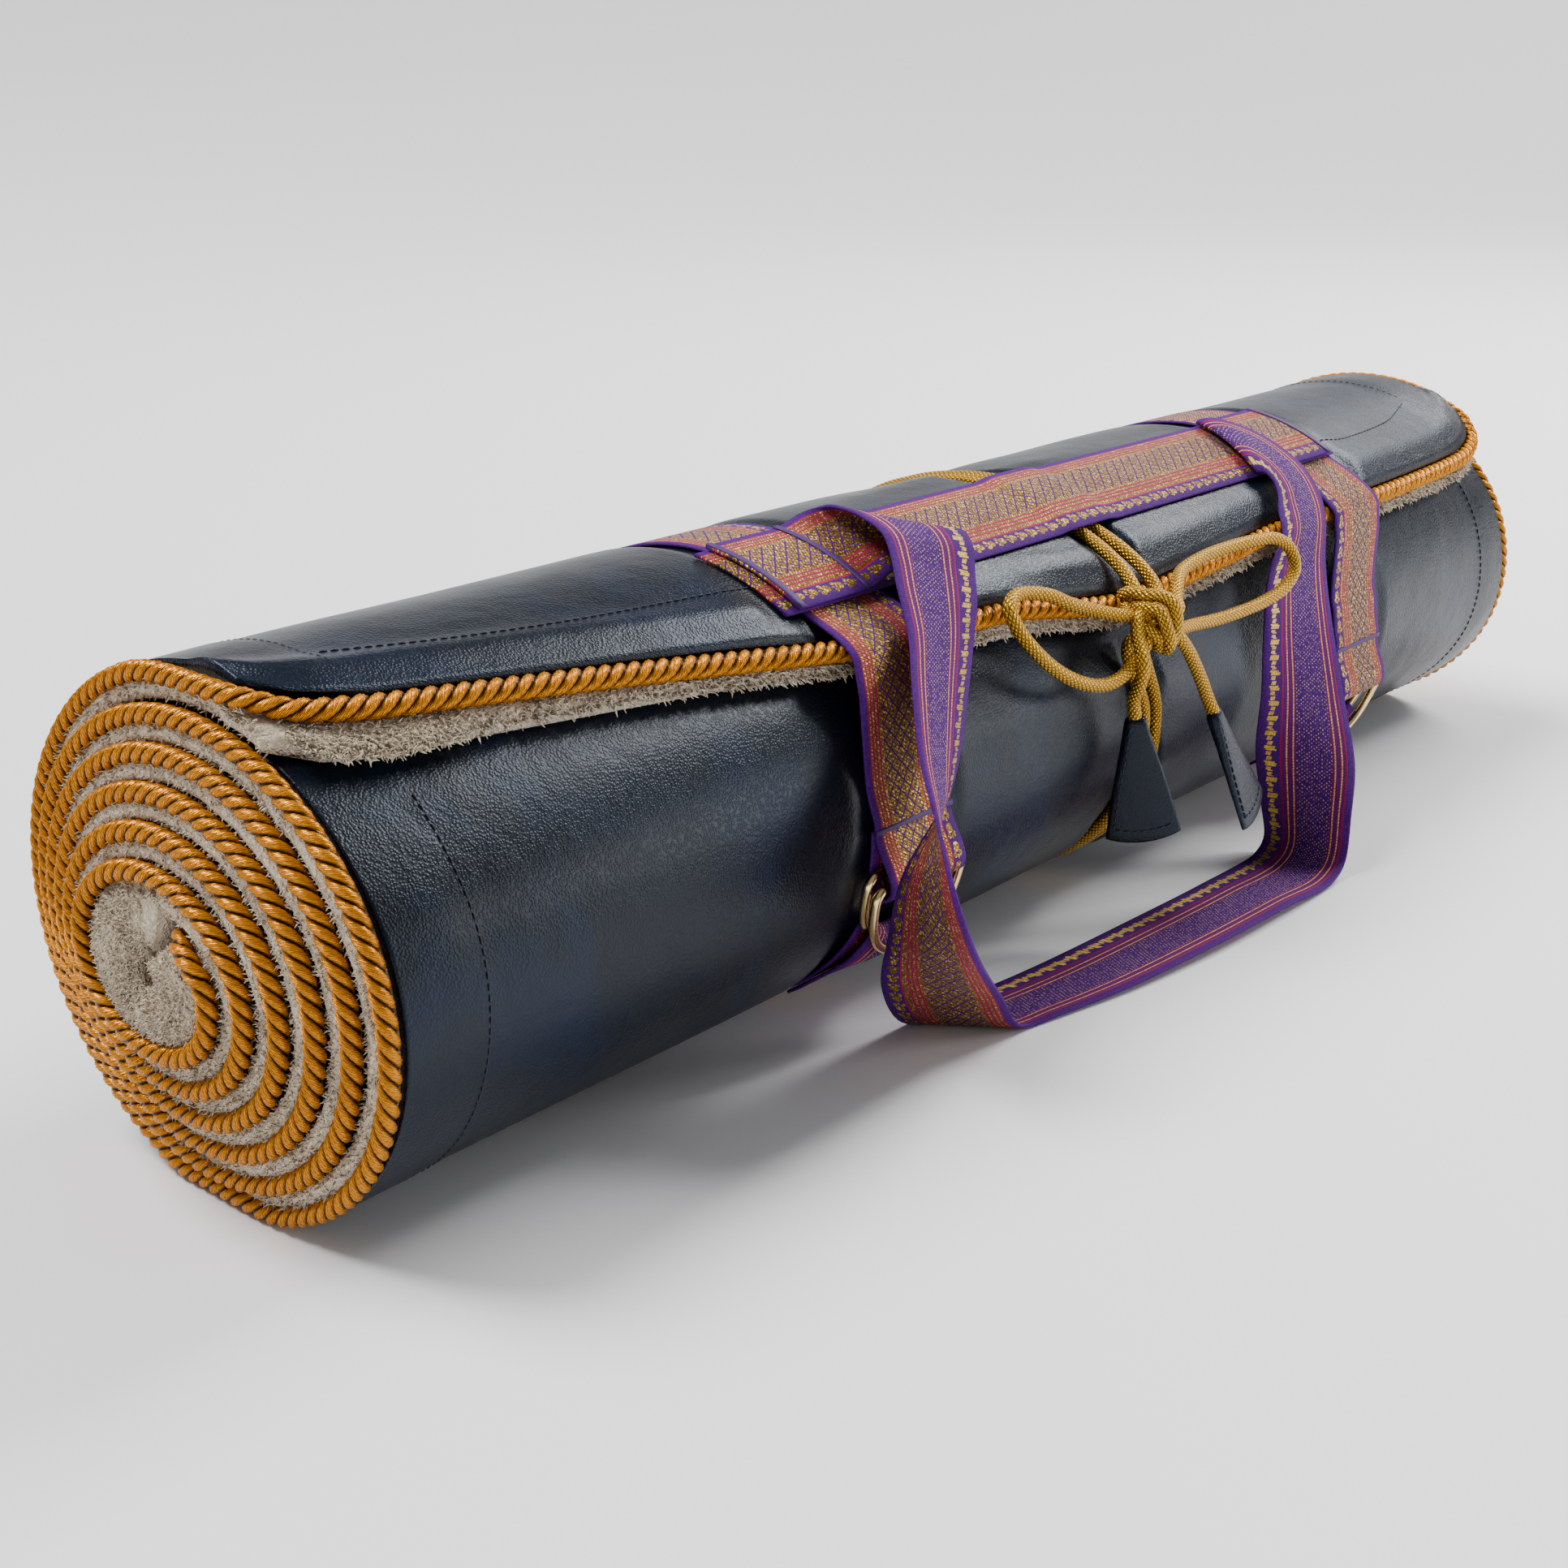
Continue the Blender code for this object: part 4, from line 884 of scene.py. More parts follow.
@dataclass(frozen=True)
class Relief:
    """Low relief of the leather: pulled folds at the tie, a soft roll, waves and a hem."""

    winding: Winding
    roll_height: float = 2.0 * MM
    roll_behind: float = 12.5 * MM
    roll_width: float = 6 * MM
    roll_start: tuple[float, float] = (0.4, 4.0)
    pulled_from: tuple[float, float] = (8 * MM, 15 * MM)
    pulled_until: float = 14 * MM
    pulled_fade: float = 24 * MM
    calm_at_belts: tuple[float, float] = (20 * MM, 34 * MM)
    calm_at_tie: tuple[float, float] = (7 * MM, 13 * MM)
    beside_strap: tuple[float, float] = (14.0, 19.0)
    past_strap: tuple[float, float] = (176 * MM, 186 * MM)
    low_turns: tuple[float, float] = (5.45, 5.58)
    back_turns: tuple[float, float] = (5.36, 5.46)
    outer_turns: tuple[float, float] = (5.1, 5.2)
    gather: float = 2.4 * MM
    ripple_size: float = 15 * MM
    wave: float = 1.5 * MM
    wave_size: float = 60 * MM
    strap_angle: float = 21.5
    strap_middle: float = 21.5 * MM
    hem: float = 0.6 * MM
    hem_x: float = 300.0 * MM

    def height(self, x: Array, turn: Array) -> Array:
        """Height over the plain winding, from folds and waves together."""
        wind = self.winding
        behind = (wind.flap(x) - turn) * wind.round_turn
        angle = (turn - LAST_TURN) * 360.0
        roll = self.roll_height * np.exp(-(((behind - self.roll_behind) / self.roll_width) ** 2))
        roll = roll * ease(*self.roll_start, behind / MM)
        spots = np.stack([x * 0.0, turn * wind.round_turn, x * 0.35], axis=-1).reshape(-1, 3)
        ripple = soft_noise(spots, self.ripple_size, 3.1).reshape(x.shape)
        beside = np.abs(x - wind.tie_x)
        past = np.maximum(beside - self.pulled_until, 0)
        pulled = ease(*self.pulled_from, beside) * np.exp(-past / self.pulled_fade)
        spread = np.stack([x * 0.55, turn * wind.round_turn, x * 0.0 + 0.2], axis=-1)
        waves = soft_noise(spread.reshape(-1, 3), self.wave_size, 8.4).reshape(x.shape)
        calm = np.ones(x.shape)
        for centre in wind.belts:
            calm = calm * ease(*self.calm_at_belts, np.abs(x - centre))
        calm = calm * ease(*self.calm_at_tie, beside)
        strap = ease(*self.beside_strap, np.abs(angle - self.strap_angle))
        strap = np.maximum(strap, ease(*self.past_strap, np.abs(x - self.strap_middle)))
        hem = self.hem * ease(self.hem_x, self.hem_x + 3 * MM, np.abs(x))
        low = ease(*self.low_turns, turn) + (1 - ease(*self.back_turns, turn))
        folds = self.gather * ripple * pulled + self.wave * waves * low
        return ease(*self.outer_turns, turn) * ((roll + folds) * calm * strap + hem)


@dataclass(frozen=True)
class Roll:
    """The rolled sheet: leather outside, fleece inside, with wool at every edge."""

    winding: Winding
    leather: Material
    wool: Material
    close_to_end: tuple[float, ...] = (0.5, 1.4, 3.4)
    start_inset: float = 8 * MM
    leather_columns: int = 96
    outer_rows: int = 88
    flap_rows: int = 31
    crease_half: float = 14.0
    belt_crease: float = 24 * MM
    tie_crease: float = 11 * MM
    fleece_columns: int = 90
    lip_from: float = 4.0
    lip_length: float = 7.0
    tuck: float = 3.4 * MM
    fluff: float = 0.7 * MM

    def leather_piece(self) -> Object:
        """The leather as one closed sheet, finer in its outer turn."""
        wind = self.winding
        edges = [(centre, self.belt_crease) for centre in wind.belts]
        edges.append((wind.tie_x, self.tie_crease))
        fine = [np.linspace(-1, 1, 17) * self.crease_half * MM + (middle + side * reach)
                for middle, reach in edges for side in (-1, 1)]
        plain = np.linspace(-wind.half_length, wind.half_length, self.leather_columns)
        close = wind.half_length - np.array(self.close_to_end) * MM
        stations = np.concatenate([plain, np.outer((-1, 1), close).ravel(), *fine])
        stations = np.unique(np.round(stations, 4))
        inner = np.arange(wind.first_turn, 5.05, 1 / 16)
        outer = np.linspace(5.08, wind.plain_turn, self.outer_rows)
        rows = [np.full(len(stations), turn) for turn in np.concatenate([inner, outer])]
        edge = wind.flap(stations)
        rows += [wind.plain_turn + (edge - wind.plain_turn) * share
                 for share in np.linspace(0.0, 1.0, self.flap_rows)[1:]]
        turns = np.array(rows)
        xs = stations[None, :] + (wind.ends(turns)[1] - wind.half_length)
        inset = self.start_inset * (1 - ease(0.0, 0.12, turns - wind.first_turn))
        xs = xs * (1 - inset / wind.half_length)
        height = Relief(wind).height(xs, turns) - wind.dip(xs, turns)
        outside = wind.at(xs, turns, height)
        inside = wind.at(xs, turns, height.clip(max=0.0) - wind.leather)
        points = np.concatenate([outside, inside[:, ::-1]], axis=1)
        along = np.append(turns[:, 0], turns[-1, 0]) * wind.round_turn
        uv = uv_grid(along, np.concatenate([stations, stations[::-1], stations[:1]]))
        piece = grid_piece("leather", points, [self.leather], uv)
        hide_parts("leather_sheet")
        return piece

    def fleece_piece(self) -> Object:
        """The fleece as one closed slab with bulging ends and a lip past the flap."""
        wind = self.winding
        stations = np.linspace(-wind.half_length, wind.half_length, self.fleece_columns)
        edge = wind.flap(stations)
        rows = [np.full(self.fleece_columns, turn)
                for turn in np.arange(wind.first_turn, 5.9, 1 / 24) if turn <= wind.plain_turn]
        rows += [wind.plain_turn + (edge - wind.plain_turn) * share
                 for share in np.linspace(0, 1, 8)[1:-1]]
        depths = [wind.fleece_face] * len(rows)
        hang = wind.hang(stations)
        for ahead, depth in wind.lip[:-1]:
            past = ahead - self.lip_from
            longer = self.lip_from + past * (hang - self.lip_from) / self.lip_length
            reach = ahead if past <= 0.0 else longer
            rows.append(edge + reach * MM / wind.round_turn)
            depths.append(depth * MM)
        turns, depths = np.array(rows), np.array(depths)[:, None]
        xs = stations[None, :] + wind.ends(turns)[1] - wind.half_length
        face = wind.at(xs, turns, -depths - wind.dip(xs, turns))
        fluff = soft_noise(face.reshape(-1, 3), 7 * MM, 5.0).reshape(turns.shape)
        in_lip = depths > wind.fleece_face + 0.1 * MM
        face += (fluff * self.fluff * in_lip)[..., None] * np.array([0.2, -0.7, 0.7])
        tucked = np.clip(xs, xs[:, :1] + self.tuck, xs[:, -1:] - self.tuck)
        bed = wind.bed(tucked, turns)
        ends = []
        for column, side in ((-1, 1), (0, -1)):
            arc = []
            for share, out in wind.bulge[1:-1]:
                point = face[:, column] + (bed[:, column] - face[:, column]) * share
                bulge = soft_noise(point, 6 * MM, 2.0) * 0.8 + out
                point[:, 0] = xs[:, column] + side * bulge * MM
                arc.append(point)
            ends.append(np.stack(arc, axis=1))
        points = np.concatenate([face, ends[0], bed[:, ::-1], ends[1][:, ::-1]], axis=1)
        uv = np.zeros((points.shape[0] + 1, points.shape[1] + 1, 2))
        piece = grid_piece("fleece", points, [self.wool], uv)
        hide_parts("fleece_lining")
        return piece


@dataclass(frozen=True)
class Edging:
    """One rope of three strands round the whole edge: two spirals, the flap and the core."""

    winding: Winding
    look: Material
    strands: int = 3
    sides: int = 18
    depth: float = 1.65 * MM
    ahead: float = 3.95 * MM
    more_out: float = 0.8 * MM
    radius: float = 3.6 * MM
    floor_gap: float = 0.15 * MM
    lobe: float = 2.1 * MM
    offset: float = 1.5 * MM
    lay: float = 15.0 * MM
    step: float = 1.35 * MM
    wound_size: float = 0.87
    thinner_from: float = 12 * MM
    thinner_over: float = 10 * MM
    spiral_start: float = 0.175
    spiral_step: float = 0.03
    pressed_until: float = 0.2
    spirals: tuple = ((0, 5.985), (1, 6.06))
    flap_start: tuple = (-323.5, -321, -317)
    flap_middle: tuple = (-311, 306, 60)
    flap_end: tuple = (312, 317, 321, 323.5)
    core_bends: tuple = ((0.112, 4.0, -1.5), (0.085, 3.9, 7.0))

    def depth_at(self, turn: Array) -> Array:
        """Depth of the centre, more where the roll stands on its edge."""
        low = self.winding.at(0.0, turn)[..., 2] - self.depth * np.cos(FULL_TURN * turn)
        return self.depth + np.maximum(0.0, self.radius + self.floor_gap - low)

    def flap_line(self) -> Array:
        """The rope's centre along the flap, square to the edge in the flat sheet."""
        wind = self.winding
        middle = np.linspace(*self.flap_middle)
        x = np.concatenate([self.flap_start, middle, self.flap_end]) * MM
        flat = np.stack([x, wind.flap(x) * wind.round_turn], axis=1)
        way = unit(np.gradient(flat, axis=0))
        moved = flat + np.stack([-way[:, 1], way[:, 0]], axis=1) * self.ahead
        return wind.at(moved[:, 0], moved[:, 1] / wind.round_turn, -self.depth)

    def line(self) -> Array:
        """The closed centre line."""
        wind = self.winding
        sides = []
        for side, last in self.spirals:
            turns = np.arange(self.spiral_start, last, self.spiral_step)
            deep = np.where(turns < LAST_TURN, self.depth_at(turns), self.depth)
            pressed = (turns < self.pressed_until) | (deep > self.depth + 0.01 * MM)
            out = self.ahead + self.more_out * pressed
            x = wind.ends(turns)[side] + (2 * side - 1) * out
            sides.append(wind.at(x, turns, -deep))
        core = []
        for side, bends in ((1, self.core_bends), (0, self.core_bends[::-1])):
            end = wind.ends(wind.first_turn)[side]
            core += [wind.at(end - (2 * side - 1) * inside * MM, turn, -deep * MM)
                     for turn, deep, inside in bends]
        knots = np.concatenate([sides[0], self.flap_line(), sides[1][::-1], np.array(core)])
        return evenly(through(knots, 8, closed=True), self.step, closed=True)

    def build(self) -> Object:
        """Sweeps the three strands as one closed rope."""
        line = self.line()
        places = measure(line, closed=True)
        turns = round(places[-1] / self.lay * self.strands) / self.strands
        twist = FULL_TURN * turns * places[:-1] / places[-1]
        around = circle(self.sides)
        off_crown = (around % (FULL_TURN / self.strands)) - math.pi / self.strands
        reach = self.offset * np.cos(off_crown)
        reach = reach + np.sqrt(self.lobe**2 - (self.offset * np.sin(off_crown)) ** 2)
        offset = spokes(line, around[None, :] - twist[:, None], closed=True)
        ends = self.winding.ends(np.full(len(line), LAST_TURN))[1] - self.thinner_from
        slim = ease(-1.0, 1.0, (np.abs(line[:, 0]) - ends) / self.thinner_over)
        size = 1.0 - (1.0 - self.wound_size) * slim
        points = line[:, None] + offset * reach[None, :, None] * size[:, None, None]
        spare = round(turns * self.strands) % self.strands
        if spare:
            LOG.warning("The rope's strands meet %d lobes off", spare)
        uv = uv_grid(places, np.arange(self.sides + 1) / self.sides)
        piece = grid_piece("edging_rope", points, [self.look], uv, ring=True)
        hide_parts("rope_trim")
        return piece


# What repeats


@dataclass(frozen=True)
class Repeats:
    """Copies of one small shape at points, by Geometry Nodes and made real."""

    group: bpy.types.NodeTree

    @staticmethod
    def make_group() -> bpy.types.NodeTree:
        """The node group: a pattern at each point, its Z along way and its X along lean."""
        group = bpy.data.node_groups.new("Repeats", "GeometryNodeTree")
        sockets = (("Geometry", "Geometry"), ("Pattern", "Object"), ("Least", "Float"),
                   ("Most", "Float"), ("Seed", "Int"), ("Material", "Material"))
        for title, kind in sockets:
            group.interface.new_socket(title, in_out="INPUT", socket_type=f"NodeSocket{kind}")
        group.interface.new_socket("Geometry", in_out="OUTPUT", socket_type="NodeSocketGeometry")
        add, link = group.nodes.new, group.links.new
        given, taken = add("NodeGroupInput"), add("NodeGroupOutput")
        pattern = add("GeometryNodeObjectInfo")
        pattern.inputs["As Instance"].default_value = True
        rotation = None
        for axis, title in (("Z", "way"), ("X", "lean")):
            named = add("GeometryNodeInputNamedAttribute")
            named.data_type = "FLOAT_VECTOR"
            named.inputs["Name"].default_value = title
            turn = add("FunctionNodeAlignRotationToVector")
            turn.axis = axis
            turn.pivot_axis = "AUTO" if rotation is None else "Z"
            link(named.outputs["Attribute"], turn.inputs["Vector"])
            if rotation is not None:
                link(rotation, turn.inputs["Rotation"])
            rotation = turn.outputs["Rotation"]
        size = add("FunctionNodeRandomValue")
        size.data_type = "FLOAT"
        for socket in size.inputs:
            wanted = {"Min": "Least", "Max": "Most", "Seed": "Seed"}.get(socket.name)
            if socket.enabled and wanted:
                link(given.outputs[wanted], socket)
        random = next(socket for socket in size.outputs if socket.enabled)
        copies = add("GeometryNodeInstanceOnPoints")
        real, finish = add("GeometryNodeRealizeInstances"), add("GeometryNodeSetMaterial")
        for output, entry in (
            (given.outputs["Pattern"], pattern.inputs["Object"]),
            (given.outputs["Geometry"], copies.inputs["Points"]),
            (pattern.outputs["Geometry"], copies.inputs["Instance"]),
            (rotation, copies.inputs["Rotation"]),
            (random, copies.inputs["Scale"]),
            (copies.outputs["Instances"], real.inputs["Geometry"]),
            (real.outputs["Geometry"], finish.inputs["Geometry"]),
            (given.outputs["Material"], finish.inputs["Material"]),
            (finish.outputs["Geometry"], taken.inputs["Geometry"]),
        ):
            link(output, entry)
        return group

    def place(
        self, name: str, pattern: Object, spots: Array, ways: Array, leans: Array,
        sizes: tuple[float, float], look: Material, slot: Slot, seed: int,
    ) -> Object:
        """Puts the pattern at each spot and keeps the result as a plain mesh.

        Args:
            name: The piece's name.
            pattern: The shape to repeat.
            spots: Where its origin goes.
            ways: Where its Z axis points.
            leans: Where its X axis points, as far as Z lets it.
            sizes: Least and most scale.
            look: Its material.
            slot: Not used.
            seed: Seed of the scales.
        """
        mesh = bpy.data.meshes.new(name)
        mesh.from_pydata(spots.tolist(), [], [])
        for title, vectors in (("way", ways), ("lean", leans)):
            layer = mesh.attributes.new(title, "FLOAT_VECTOR", "POINT")
            layer.data.foreach_set("vector", np.asarray(vectors, np.float32).ravel())
        made = add_to_scene(name, mesh)
        modifier = made.modifiers.new("Repeats", "NODES")
        modifier.node_group = self.group
        given = {"Pattern": pattern, "Least": sizes[0], "Most": sizes[1], "Seed": seed,
                 "Material": look}
        for item in self.group.interface.items_tree:
            if item.in_out == "INPUT" and item.name in given:
                modifier[item.identifier] = given[item.name]
        graph = bpy.context.evaluated_depsgraph_get()
        real = bpy.data.meshes.new_from_object(made.evaluated_get(graph))
        made.modifiers.clear()
        made.data = real
        return settle(made)


def pattern_of(name: str, line: Array, radii: Array, sides: int) -> Object:
    """A small closed tube to repeat, kept out of the scene's pieces."""
    offset = spokes(line, circle(sides)) * np.asarray(radii)[:, None, None]
    points = (line[:, None] + offset).reshape(-1, 3)
    caps = [list(range(sides))[::-1], list(range(len(points) - sides, len(points)))]
    mesh = bpy.data.meshes.new(name)
    mesh.from_pydata(points.tolist(), [], quads(len(line), sides) + caps)
    return bpy.data.objects.new(name, mesh)


@dataclass(frozen=True)
class Wool:
    """Curled locks that stand out of the fleece where it shows."""

    winding: Winding
    repeats: Repeats
    look: Material
    near_count: int = 13500
    far_count: int = 8500
    lip_count: int = 13500
    core_count: int = 450
    end_sizes: tuple[float, float] = (1.5 * MM, 2.9 * MM)
    lip_sizes: tuple[float, float] = (1.6 * MM, 3.4 * MM)
    lip_end: float = 322 * MM
    over_floor: float = 6 * MM
    scatter: float = 0.22
    fan: float = 1.6
    fan_middle: float = 0.58
    core_reach: tuple[float, float] = (-3 * MM, 16 * MM)
    corner_share: float = 0.14
    corner_length: float = 0.07
    corner_x: float = -300 * MM
    corner_behind: float = 9.0 * MM
    curl: tuple = ((0, 0, 0), (0.10, 0.0, 0.55), (0.42, 0.06, 0.92))
    curl_radii: tuple[float, ...] = (0.13, 0.11, 0.03)

    def lock(self) -> Object:
        """One tapering curl, 1 m long before it is scaled."""
        return pattern_of("lock", np.array(self.curl), np.array(self.curl_radii), 3)

    def end_locks(self, name: str, side: int, count: int, seed: int) -> Object:
        """Locks over the wound end on one side, the first of them at the core's start."""
        wind = self.winding
        rng = np.random.default_rng(seed)
        turns = np.linspace(wind.first_turn, 6.062, 400)
        wide = np.where(turns < 1.0, 0.8 * (turns * wind.pitch + 12 * MM), 3.0 * MM)
        weight = wide * (85 * MM - (LAST_TURN - turns) * wind.pitch)
        turn = rng.choice(turns, count, p=weight / weight.sum())
        turn = turn + rng.uniform(-0.5, 0.5, count) * (turns[1] - turns[0])
        in_core, in_turns = rng.uniform(0.12, 0.97, (2, count))
        share = np.where(turn < 1.0, in_core, in_turns)
        x = wind.ends(turn)[(side + 1) // 2]
        face = wind.at(x, turn, -wind.fleece_face)
        bed = wind.bed(x, turn)
        spots = face + (bed - face) * share[:, None]
        spots[:, 0] += side * (np.interp(share, *np.array(wind.bulge).T) - 1.0) * MM
        high = spots[:, 2] > self.over_floor
        start = np.arange(count) < self.core_count
        begun = np.full(count, wind.first_turn - 0.001)
        core_x = wind.ends(begun)[(side + 1) // 2]
        first = wind.at(core_x, begun, -wind.fleece_face)
        core_bed = wind.bed(core_x, begun)
        across = first + (core_bed - first) * rng.uniform(0, 1, (count, 1))
        across[:, 0] -= side * rng.uniform(*self.core_reach, count)
        spots = np.where(start[:, None], across, spots)
        inward = unit(bed - face)
        round_way = np.cross(inward, (1.0, 0.0, 0.0))
        ways = np.array([side * 1.0, 0, 0]) + rng.normal(0, self.scatter, (count, 3))
        ways += inward * ((share - self.fan_middle) * self.fan)[:, None]
        leans = inward * rng.normal(0, 1, (count, 1)) + round_way * rng.normal(0, 1, (count, 1))
        behind = unit(first - wind.at(core_x, begun + 0.01, -wind.fleece_face))
        back = behind + np.array([side * 0.6, 0, 0]) + rng.normal(0, 0.2, (count, 3))
        ways = np.where(start[:, None], back, ways)
        return self.repeats.place(name, self.lock(), spots[high], unit(ways[high]),
                                  unit(leans[high]), self.end_sizes, self.look, Slot.FLEECE, seed)

    def lip_locks(self) -> Object:
        """Locks along the flap, where the fleece shows past the leather."""
        wind = self.winding
        rng = np.random.default_rng(11)
        count, end = self.lip_count, self.lip_end
        x = rng.uniform(-end, end, count)
        at_corner = rng.uniform(0, 1, count) < self.corner_share
        x = np.where(at_corner, -end + (x + end) * self.corner_length, x)
        hang = wind.hang(x) * MM
        behind = np.where(x < self.corner_x, self.corner_behind, 0.0)
        ahead = rng.uniform(0.0, 1.0, count) * (hang + 2.0 * MM + behind) - behind
        turn = wind.flap(x) + ahead / wind.round_turn
        place = ahead / MM
        place = np.where(place < 4.0, place, 4.0 + (place - 4.0) * 7.0 / (hang / MM - 4.0))
        depth = np.interp(place, *np.array(wind.lip[1:]).T) * MM + 0.5 * MM
        spots = wind.at(x, turn, -depth)
        out = unit(wind.at(x, turn, MM) - wind.at(x, turn, 0.0))
        down = unit(wind.at(x, turn + 0.002) - wind.at(x, turn - 0.002))
        sideways = np.array([1.0, 0.0, 0.0]) * rng.normal(0, 0.25, (count, 1))
        ways = unit(out * rng.uniform(0.25, 1.0, (count, 1)) + down * 0.8 + sideways)
        leans = unit(down * rng.uniform(-0.3, 1.0, (count, 1)) + sideways * 1.6)
        return self.repeats.place("lip_locks", self.lock(), spots, ways, leans,
                                  self.lip_sizes, self.look, Slot.FLEECE, 12)

    def build(self) -> None:
        """Grows the wool at both wound ends and along the flap."""
        self.end_locks("near_locks", -1, self.near_count, 21)
        self.end_locks("far_locks", 1, self.far_count, 31)
        self.lip_locks()


@dataclass(frozen=True)
class Stitching:
    """Rows of stitches sunk into leather."""

    repeats: Repeats
    look: Material
    half_way: float = 0.4 * MM
    bend: tuple = ((-1.0, -0.6, 0.6), (-0.8, 0.25, 0.9), (0.0, 0.6, 1.0), (0.8, 0.25, 0.9),
                   (1.0, -0.6, 0.6))

    def along(self, name: str, line: Array, ups: Array, length: float = 2.1 * MM,
              pitch: float = 3.1 * MM, radius: float = 0.24 * MM) -> None:
        """Lays stitches along a line of points.

        Args:
            name: The piece's name.
            line: The seam's points on the surface.
            ups: Directions out of the surface there.
            length: One stitch's length.
            pitch: From one stitch to the next.
            radius: The thread's radius.
        """
        places = measure(line)
        count = max(2, round(places[-1] / pitch))
        marks = (np.arange(count) + 0.5) * places[-1] / count
        ahead = at_marks(line, places, marks + self.half_way)
        behind = at_marks(line, places, marks - self.half_way)
        along, up, wide = np.array(self.bend).T
        bend = np.stack([along * (length / 2), along * 0, up * radius], axis=1)
        pattern = pattern_of(f"stitch_{name}", bend, wide * radius, 6)
        self.repeats.place(name, pattern, at_marks(line, places, marks),
                           unit(at_marks(ups, places, marks)), unit(ahead - behind), (1.0, 1.0),
                           self.look, Slot.LEATHER, 1)


# The harness


def strap_piece(
    name: str, rows: Array, looks: Sequence[Material], flower_first: bool = False,
    thick: float = 1.1 * MM,
) -> Object:
    """A woven strap through rows of points across it, gold on one face, purple on the other.

    Args:
        name: The piece's name.
        rows: Rows along the strap by points across by 3. The gold face is the one that a
            right-handed turn from along to across points away from.
        looks: The gold face's and the purple face's material.
        flower_first: Whether the flower border is on the first point's edge.
        thick: The strap's thickness.
    """
    along, across = np.gradient(rows, axis=0), np.gradient(rows, axis=1)
    lift = unit(np.cross(along, across)) * thick / 2
    side = unit(across) * thick * 0.3
    middle = rows.copy()
    middle[:, 0] += side[:, 0]
    middle[:, -1] -= side[:, -1]
    lower = (middle - lift)[:, ::-1]
    points = np.concatenate([middle + lift, rows[:, -1:], lower, rows[:, :1]], axis=1)
    count = rows.shape[1]
    share = np.linspace(0.0, STRAP_WIDTH, count)
    edges = np.concatenate([share, [STRAP_WIDTH], share[::-1], [0.0, 0.0]])
    if flower_first:
        edges = STRAP_WIDTH - edges
    places = measure(rows[:, count // 2]) / MM
    uv = uv_grid(np.append(places, places[-1]), edges)
    return grid_piece(name, points, looks, uv,
                      look_of=lambda row, column: 1 if column < count else 0)


